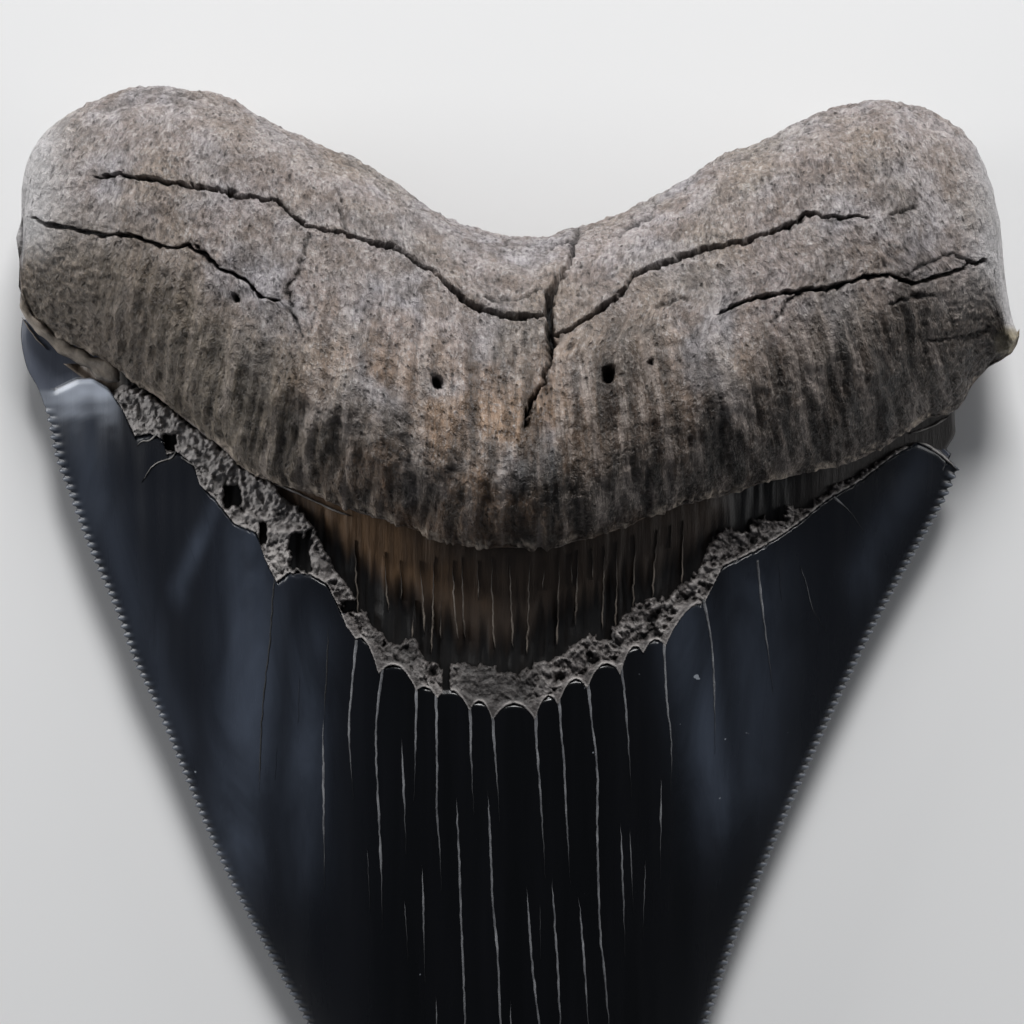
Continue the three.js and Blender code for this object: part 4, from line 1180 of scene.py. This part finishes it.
class Skin:
    """Points, marks and faces of the enamel in the making."""

    def __init__(self):
        self.count = 0
        self.places = []
        self.faces = []
        self.marks = {"tooth_tip": [], "fracture": [], "upper": []}

    def put(self, x, y, z, **marks):
        """Adds a set of points and returns their numbers."""
        places = lifted(x, y, z)
        shape = places.shape[:-1]
        numbers = self.count + np.arange(places[..., 0].size).reshape(shape)
        self.count += numbers.size
        self.places.append(places.reshape(-1, 3))
        for name, blocks in self.marks.items():
            blocks.append(np.broadcast_to(marks.get(name, 0.0), shape).ravel().astype(float))
        return numbers

    def face(self, *corners):
        """Adds a face, without the corners that come twice."""
        corners = tuple(int(corner) for corner in dict.fromkeys(corners))
        if len(corners) > 2:
            self.faces.append(corners)

    def quads(self, block):
        near = zip(block[:-1, :-1].flat, block[:-1, 1:].flat)
        far = zip(block[1:, 1:].flat, block[1:, :-1].flat)
        for (a, b), (c, d) in zip(near, far):
            self.face(a, b, c, d)

    def fan(self, row, point):
        for a, b in zip(row[:-1], row[1:]):
            self.face(a, b, point)

    def stitch(self, one, one_y, other, other_y, flip):
        """Triangles between two rows of points, each with its height in plan."""
        i = 0
        k = 0
        while i < len(one) - 1 or k < len(other) - 1:
            step_one = k >= len(other) - 1 or (i < len(one) - 1 and one_y[i + 1] >= other_y[k + 1])
            third = one[i + 1] if step_one else other[k + 1]
            corners = (one[i], other[k], third)
            self.face(*(corners[::-1] if flip else corners))
            i, k = (i + 1, k) if step_one else (i, k + 1)


def sheet_x(share, y):
    """Where a share of the way over a main sheet is at y. The toothed bands take up the rest."""
    band = np.minimum(BAND_WIDTH / np.maximum(crown_width(y), NARROWEST), BAND_SHARE)
    return mix(crossing(LEFT_EDGE, 1, y), crossing(RIGHT_EDGE, 1, y), mix(band, 1 - band, share))


def main_columns():
    """Shares of the main sheet's columns, and the place in y where each meets the torn rim."""
    rim_x = np.linspace(*RIM_SPAN, RIM_SAMPLES)
    rim_y = rim_height(rim_x)
    rim_share = np.maximum.accumulate((rim_x - crossing(LEFT_EDGE, 1, rim_y)) / crown_width(rim_y))
    top = np.interp(np.linspace(rim_share[0], rim_share[-1], MAIN_COLUMNS), rim_share, rim_y)
    share = np.linspace(0, 1, MAIN_COLUMNS)
    for _ in range(RIM_TRIES):
        top = rim_height(sheet_x(share, top))
    return share, top


def lingual_sheet(skin, share, top):
    """The main lingual sheet, with the shelf above the rim and the broken wall between them."""
    main_y = mix(top, SHEET_FOOT, np.linspace(0, 1, MAIN_ROWS + 1)[:, None] ** 1.7)
    main_x = sheet_x(share, main_y)
    rounding = RIM_ROUNDING * (1 - ease(0, RIM_ROUNDED_OVER, top - main_y)) ** 2
    main_z = crown_top(main_x, main_y) + enamel_relief(main_x, main_y) - rounding
    rim_x = main_x[0]
    shelf_top = np.maximum(crossing(LABIAL_RIM, 0, rim_x), top + SHELF_REACH)
    shelf_y = mix(shelf_top, top + SHELF_GAP, np.linspace(0, 1, SHELF_ROWS)[:, None])
    shelf_x = sheet_x(share, shelf_y)
    shelf_x = np.where(shelf_x > SHELF_RIGHT, rim_x, shelf_x)
    shelf_z = shoulder_height(shelf_x, shelf_y)
    down = np.arange(1, WALL_ROWS + 1)[:, None] / (WALL_ROWS + 1)
    wall_x = mix(shelf_x[-1], rim_x, down)
    wall_y = mix(shelf_y[-1], top, down)
    wall_z = mix(shelf_z[-1], main_z[0], down)
    broken_edge = np.where(np.arange(MAIN_ROWS + 1)[:, None] < 2, 0.5, 0.0)
    shelf = skin.put(shelf_x, shelf_y, shelf_z, upper=1.0)
    wall = skin.put(wall_x, wall_y, wall_z, fracture=0.7)
    main = skin.put(main_x, main_y, main_z, fracture=broken_edge)
    numbers = np.vstack([shelf, wall, main])
    skin.quads(numbers)
    return Sheet(numbers, np.vstack([shelf_x, wall_x, main_x]), np.vstack([shelf_y, wall_y, main_y]))


def labial_sheet(skin, share, lingual):
    """The main labial sheet, which starts under the upper end of the lingual one."""
    labial_share = np.linspace(0, 1, LABIAL_COLUMNS)
    top = np.interp(labial_share, share, lingual.y[0])
    y = mix(top, SHEET_FOOT, np.linspace(0, 1, LABIAL_ROWS)[:, None])
    x = sheet_x(labial_share, y)
    upper_end = np.interp(labial_share, share, lingual.x[0])
    x = np.where(x > LABIAL_RIGHT, np.minimum(x, upper_end), x)
    numbers = skin.put(x, y, crown_underside(x, y))
    skin.quads(numbers[:, ::-1])
    return Sheet(numbers, x, y)


def toothed_band(skin, edge, top, first_tooth, outward, lingual, labial):
    """A cutting edge with its teeth, from one main sheet round to the other."""
    side = 0 if outward < 0 else -1
    rim_y = lingual.y[RIM_ROW, side]
    rows, travelled = edge_rows(edge, top)
    teeth = serration(travelled)
    toothed = ease(-1, 1, first_tooth - rows[:, 1]) * ease(0, 3, rows[:, 1] - TIP[1])
    width = crown_width(rows[:, 1])
    band = np.minimum(BAND_WIDTH, BAND_SHARE * width)
    gaps = (0.5 - teeth * 0.5) * toothed * np.minimum(SERRATION_DEPTH, TOOTH_SHARE * width)
    x, y = (rows - sideways(rows) * outward * gaps[:, None]).T
    y = np.maximum(y, TIP[1])
    outer = skin.put(x, y, edge_height(y), tooth_tip=toothed * (0.5 + 0.5 * teeth) * 0.5)
    lingual_columns = [outer]
    labial_columns = [outer]
    for share in BAND_STEPS:
        x = rows[:, 0] - outward * (share * band + gaps * (1 - share) ** 2)
        y = np.maximum(rows[:, 1], TIP[1])
        if outward > 0:
            y = y + (rim_height(x[0]) - y[0]) * np.exp(-travelled / 1.2)
        near_edge = toothed * np.exp(-((share / 0.45) ** 4))
        swell = 0.12 * teeth * near_edge
        z = mix(shoulder_height(x, y), crown_top(x, y), ease(-0.2, 0.8, rim_y - y))
        marks = {"tooth_tip": 0.7 * clamp(teeth) * near_edge, "upper": ease(-0.3, 0.3, y - rim_y)}
        lingual_columns.append(skin.put(x, y, z + swell, **marks))
        labial_columns.append(skin.put(x, y, np.maximum(crown_underside(x, y) - swell, 0)))

    for columns, order in ((lingual_columns, -outward), (labial_columns, outward)):
        for pair in zip(columns[:-1], columns[1:]):
            skin.quads(np.stack(pair[::order], axis=1))
    sheets = ((lingual_columns, lingual, outward > 0), (labial_columns, labial, outward < 0))
    for columns, sheet, flip in sheets:
        skin.stitch(columns[-1], rows[:, 1], sheet.numbers[:, side], sheet.y[:, side], flip)
    upper_ends = [column[0] for column in lingual_columns] + [lingual.numbers[0, side]]
    lower_ends = [column[0] for column in labial_columns] + [labial.numbers[0, side]]
    skin.quads(np.array([upper_ends, lower_ends])[::outward])


def make_enamel():
    skin = Skin()
    tip_point = skin.put(*TIP, (edge_height(-CROWN_LENGTH) + TIP_LIFT) / 2 + 0.4)
    share, top = main_columns()
    lingual = lingual_sheet(skin, share, top)
    labial = labial_sheet(skin, share, lingual)
    toothed_band(skin, LEFT_EDGE, lingual.y[0, 0], FIRST_TOOTH_LEFT, -1, lingual, labial)
    toothed_band(skin, RIGHT_EDGE, FIRST_TOOTH_RIGHT, FIRST_TOOTH_RIGHT, 1, lingual, labial)
    skin.stitch(lingual.numbers[0], -lingual.x[0], labial.numbers[0], -labial.x[0], False)
    skin.fan(lingual.numbers[-1], tip_point)
    skin.fan(labial.numbers[-1, ::-1], tip_point)

    place = np.vstack(skin.places)
    scale = (EYE_HEIGHT - OUTLINE_HEIGHT) / (EYE_HEIGHT - place[:, 2:])
    x, y = ((place[:, :2] - PLAN_ORIGIN) * scale).T
    marks = {name: np.concatenate(blocks) for name, blocks in skin.marks.items()}
    below_rim = np.interp(x, ARCHED_RIM[:, 0], ARCHED_RIM[:, 1]) - y
    # Painted highlight along the left lobe's rim, fading downwards with a noisy edge.
    glow = noise(flat(x * 0.5, y * 0.9, 2))
    lobe = (1 - ease(-44, -41.8, x)) * (1 - ease(-0.5, 6.5, below_rim - glow)) ** 2
    lobe = lobe * mix(0.3, 0.95, ease(-50.4, -47.5, x))
    marks["lobe"] = lobe * (1 - marks["upper"]) * (place[:, 2] > CUTTING_EDGE)
    # left: lighter towards both sides, as painted sheen
    marks["left"] = 0.95 * ease(8, 34, -x) + 0.5 * ease(12, 34, x)
    marks["sheen"] = sheen_marks(x, y) * (1 - marks["upper"])
    return make_piece("enamel", place, skin.faces, paint_enamel(), marks)


# Crust: a rough strip that follows the torn rim, with funnels over the tops of the cracks
CRUST_COLUMNS = 1000
CRUST_FINE_ROWS = 40
CRUST_COARSE_ROWS = 44
CRUST_BELOW = -2.8
CRUST_FINE_TOP = 1.2
CRUST_ABOVE = 8
CRUST_ABSENT = -2


def crust_present(x, y, over):
    """How far there is crust at a place: between its two borders and outside its recesses."""
    top = np.interp(x, *np.transpose(CRUST_TOP_PLAN))
    stray = 0.6 * noise(flat(x * 0.9, y * 0.9, 1)) + 0.4 * noise(flat(x * 2.2, y * 2.2, 2))
    present = ease(-0.16, -0.02, over) * (1 - ease(-0.45, 0.3, y - top + stray))
    recess = np.zeros(x.shape)
    for middle_x, middle_y, half_x, half_y in CRUST_RECESSES:
        reach = np.maximum(np.abs(x - middle_x) / half_x, np.abs(y - middle_y) / half_y)
        recess = np.maximum(recess, 1 - ease(0.75, 1.25, reach + 0.65 * stray))
    return present * (1 - recess)


def crust_height(x, y):
    """How high the crust stands over the dentine, and how far a place takes a painted highlight on a
    crest or painted shade in a pit.
    """
    over = y - crust_foot(x)
    present = crust_present(x, y, over)
    smooth_plate = np.exp(-(((x + 1.6) / 5) ** 4)) + 0.7 * np.exp(-(((x + 12.5) / 3) ** 4))
    coarse = 1 - 0.72 * smooth_plate
    bend_x = x + 0.3 * noise(flat(x * 1.3, y * 1.3, 20))
    bend_y = y + 0.3 * noise(flat(x * 1.3, y * 1.3, 30))
    lumps = blocks(flat(bend_x * 0.75, bend_y * 1.0, 0.5)) - 0.5
    small = blocks(flat(bend_x * 1.9, bend_y * 2.1, 3.5)) - 0.5
    rough = lumps * 0.75 + small * 0.5 + 0.22 * fractal(flat(x * 1.6, y * 1.6, 7), 3, 0.6)
    hollow = ease(0.25, 0.6, noise(flat(x * 0.5, y * 0.5, 12)) + 0.2 * noise(flat(x * 1.6, y * 1.6, 4)))
    left = ease(18, 26, -x)
    body = 0.6 + 0.25 * smooth_plate + rough * coarse + 0.35 * left
    body = body - (0.8 - 0.5 * left) * hollow * coarse * ease(0.6, 1.4, over)
    skin = ENAMEL_THICKNESS + 0.07 + 0.1 * clamp(rough)
    on_enamel = 1 - ease(-0.05, 0.55, y - rim_height(x))
    height = mix(CRUST_ABSENT, mix(body, np.maximum(body, skin), on_enamel), present)
    # Painted highlight along the crust's lower edge on the enamel and on crests; on the left the crust is
    # painted lighter, partly as light where the root's shadow falls.
    lip = np.exp(-(((over - 0.12) / 0.24) ** 2)) * on_enamel
    pale = np.maximum(ease(0, 0.5, rough) * 0.55 * coarse, left * (0.62 + 0.6 * rough))
    crest = np.maximum(0.9 * lip, clamp(pale)) * present
    # Painted shade in low places and hollows; the smooth plate is darker in its own tone.
    pit = np.maximum(ease(-0.25, -0.75, rough) * coarse, 0.5 * hollow * coarse) * (1 - lip)
    pit = pit * (1 - 0.5 * left) + 0.62 * smooth_plate * (1 - lip)
    return height, crest, np.maximum(pit, 1 - present)


def make_crust():
    spine = smooth(CRUST_SPINE_PLAN, CRUST_COLUMNS)
    upward = sideways(spine)
    fine = np.linspace(CRUST_BELOW, CRUST_FINE_TOP, CRUST_FINE_ROWS)
    offsets = np.concatenate([fine, np.linspace(CRUST_FINE_TOP, CRUST_ABOVE, CRUST_COARSE_ROWS)[1:]])
    x = spine[:, None, 0] + upward[:, None, 0] * offsets
    y = spine[:, None, 1] + upward[:, None, 1] * offsets
    height, crest, pit = crust_height(x, y)
    base = crown_top(x, y) - ENAMEL_THICKNESS
    from_end = np.minimum(np.arange(len(spine)), np.arange(len(spine))[::-1])[:, None]
    top = base + mix(CRUST_ABSENT, height, ease(0, 12, from_end))
    below = base + 1.3 * CRUST_ABSENT
    plan_x = np.hstack([x, x[:, [-1, 0]]])
    plan_y = np.hstack([y, y[:, [-1, 0]]])
    level = np.hstack([top, below[:, [-1, 0]]])
    points = lifted(plan_x, plan_y, level).reshape(-1, 3)
    loops, size = plan_x.shape
    ends = np.array([points[:size].mean(axis=0), points[-size:].mean(axis=0)])
    # left: lighter crust on the left, partly painted light where the root shades it.
    tops = {"crest": crest, "pit": pit, "left": 0.85 * ease(18, 24, -x)}
    closing = np.zeros((loops, 2))
    marks = {name: with_ends(np.hstack([values, closing]), len(points)) for name, values in tops.items()}
    faces = skin_faces(loops, size)
    return make_piece("crust", np.vstack([points, ends]), faces, paint_crust(), marks)


# Thin raised lines: fillings of cracks, painted shadows of open cracks, ridges and lips, as ribbons with
# a low ridge
RIBBON_PROFILE = [(-1, -0.5), (-0.55, 0.6), (0, 1), (0.55, 0.6), (1, -0.5), (0, -1)]
RIBBON_STEP = 0.3
RIBBON_ROOT = 0.5


def fan_of(corners):
    """Triangles that fill a flat ring of corners."""
    return [(corners[0], corners[k], corners[k + 1]) for k in range(1, len(corners) - 1)]


def ribbon_faces(first, count):
    """Faces round a ribbon whose points start at the number first, count of them along each line."""
    size = len(RIBBON_PROFILE)
    rungs = first + np.arange(size * count).reshape(size, count).T
    faces = []
    for i, k in product(range(count - 1), range(size)):
        after = (k + 1) % size
        faces.append((rungs[i, k], rungs[i, after], rungs[i + 1, after], rungs[i + 1, k]))
    faces.extend(fan_of(rungs[0, ::-1]) + fan_of(rungs[-1]))
    return [tuple(int(corner) for corner in face) for face in faces]


def make_ribbons(
    name, paths, surface, material, width, rise, flare=0.0, tail=4.0, start=1.0, sway=0.07
):
    """Low lines along paths on a surface. Start is the share of the width at each path's start."""
    points = []
    fades = []
    faces = []
    for number, path in enumerate(paths):
        length = np.sum(np.linalg.norm(np.diff(np.array(path, float), axis=0), axis=1))
        line = smooth(path, max(4, int(length / RIBBON_STEP)))
        count = len(line)
        side = sideways(line)
        travelled = np.linspace(0, length, count)
        wobble = noise(flat(travelled * 0.9, number * 3.7, 1))
        wobble = wobble + 0.5 * noise(flat(travelled * 2.4, number, 5))
        line = line + side * (sway * wobble)[:, None]
        share = travelled / length
        ends = np.minimum(ease(-0.4, 1.2, travelled), ease(-0.2, tail, length - travelled))
        broken = 0.8 + 0.35 * noise(flat(travelled * 0.6, number * 5.1, 7))
        half = width / 2 * np.maximum(ends, 0.12) * broken * mix(start, 1, share)
        at_rim = rim_height(line[:1, 0]) - line[0, 1] < 2.5
        half = half + flare * at_rim * np.exp(-travelled / 1.1)
        half = half * mix(ease(-1, 5, travelled), 1, at_rim)
        faces.extend(ribbon_faces(sum(len(block) for block in points), count))
        for out, lift in RIBBON_PROFILE:
            spot = line + side * (half * out)[:, None]
            raised = rise * (0.6 + 0.4 * ends) * lift if lift > 0 else RIBBON_ROOT * lift
            z = surface(spot[:, 0], spot[:, 1]) + raised
            points.append(lifted(spot[:, 0], spot[:, 1], z))
            fades.append(np.clip(ends * (1.25 - 0.45 * share) * broken, 0, 1))
    marks = {"fade": np.concatenate(fades)}
    return make_piece(name, np.vstack(points), faces, material, marks)


def enamel_surface(x, y):
    return crown_top(x, y) + enamel_relief(x, y)


def dentine_surface(x, y):
    return crown_top(x, y) - ENAMEL_THICKNESS


def ridge_surface(x, y):
    """The tops of the ridges, which keep near the dentine's first level where it is worn away."""
    return dentine_surface(x, y) - 0.3 * (1 - brown_share(x, y))


def neck_surface(x, y):
    foot = crossing(ROOT_FOOT, 0, x)
    top = crossing(ROOT_TOP, 0, x)
    return root_lingual(x, y, clamp((y - foot) / (top - foot))) - 0.9


def make_lines():
    pale = paint_filling("crack_filling", tint(74, 75, 79), tint(128, 129, 132))
    dark = paint_filling("crack_shadow", tint(4, 4, 5), tint(8, 8, 10))
    # Pale ridges: their own colour, lightened further as a painted highlight on their tops.
    ridge = paint_filling("dentine_ridge", tint(58, 50, 43), tint(140, 130, 120))
    lip = paint_filling("broken_lip", tint(112, 108, 104), tint(184, 180, 176))
    band = paint_filling("neck_band", tint(104, 94, 83), tint(168, 156, 142))
    make_ribbons(
        "crack_fillings", FILLED_CRACKS, enamel_surface, pale,
        width=0.4, rise=0.08, flare=0.22, tail=9,
    )
    # Near-black ribbons that paint the shade inside the open cracks.
    make_ribbons(
        "open_crack_shadows", OPEN_CRACKS, enamel_surface, dark,
        width=0.36, rise=0.03,
    )
    make_ribbons(
        "dentine_ridges", [path[::-1] for path in DENTINE_RIDGES], ridge_surface, ridge,
        width=0.22, rise=0.3, start=1.3, sway=0.12,
    )
    make_ribbons(
        "enamel_lips", ENAMEL_LIPS, enamel_surface, lip,
        width=0.34, rise=0.16, tail=1,
    )
    make_ribbons(
        "dentine_lips", DENTINE_LIPS, dentine_surface, lip,
        width=0.4, rise=0.5, tail=1,
    )
    make_ribbons(
        "neck_band", [NECK_BAND], neck_surface, band,
        width=2.7, rise=0.8, tail=0.8, start=0.3,
    )
    make_ribbons(
        "shoulder_lip", [SHOULDER_LIP], shoulder_height, band,
        width=0.3, rise=0.3, tail=1,
    )


# Floor, light and camera, in metres
FLOOR_HALF_SIDE = 1.2
LIGHT_TARGET = (0, 0.02, 0)
KEY_TARGET = (0, 0.02, 0.01)
SKY_TINT = (0.8, 0.85, 0.95, 1)
SKY_STRENGTH = 0.09
LENS_MM = 100
SENSOR_MM = 36


def make_stage():
    mesh = bpy.data.meshes.new("floor")
    half = FLOOR_HALF_SIDE
    corners = [(-half, -half, 0), (half, -half, 0), (half, half, 0), (-half, half, 0)]
    mesh.from_pydata(corners, [], [(0, 1, 2, 3)])
    floor = bpy.data.objects.new("floor", mesh)
    bpy.context.scene.collection.objects.link(floor)
    paint = Paint("pale_floor")
    mesh.materials.append(paint.finish(Base_Color=tint(226, 226, 226), Roughness=0.8))


def add_light(name, place, target, size, power):
    light = bpy.data.lights.new(name, "AREA")
    light.size = size
    light.energy = power
    lamp = bpy.data.objects.new(name, light)
    lamp.location = place
    towards = np.array(target) - np.array(place)
    lamp.rotation_mode = "QUATERNION"
    lamp.rotation_quaternion = Vector(towards).to_track_quat("-Z", "Y")
    bpy.context.scene.collection.objects.link(lamp)


def make_light_and_camera():
    add_light("key", (0.05, 0.62, 0.42), KEY_TARGET, size=0.26, power=6.4)
    add_light("left_fill", (-0.62, 0.2, 0.14), LIGHT_TARGET, size=0.3, power=2.3)
    add_light("right_fill", (0.62, 0.15, 0.16), LIGHT_TARGET, size=0.3, power=1)
    world = bpy.data.worlds.new("studio")
    world.use_nodes = True
    background = world.node_tree.nodes["Background"]
    background.inputs["Color"].default_value = SKY_TINT
    background.inputs["Strength"].default_value = SKY_STRENGTH
    scene = bpy.context.scene
    scene.world = world
    scene.view_settings.view_transform = "Standard"
    lens = bpy.data.cameras.new("camera")
    lens.lens = LENS_MM
    lens.sensor_width = SENSOR_MM
    lens.clip_start = 0.01
    camera = bpy.data.objects.new("camera", lens)
    camera.location = Vector((*PLAN_ORIGIN, EYE_HEIGHT)) * MILLIMETRE
    scene.collection.objects.link(camera)
    scene.camera = camera


make_root()
make_dentine()
make_enamel()
make_crust()
make_lines()
make_stage()
make_light_and_camera()
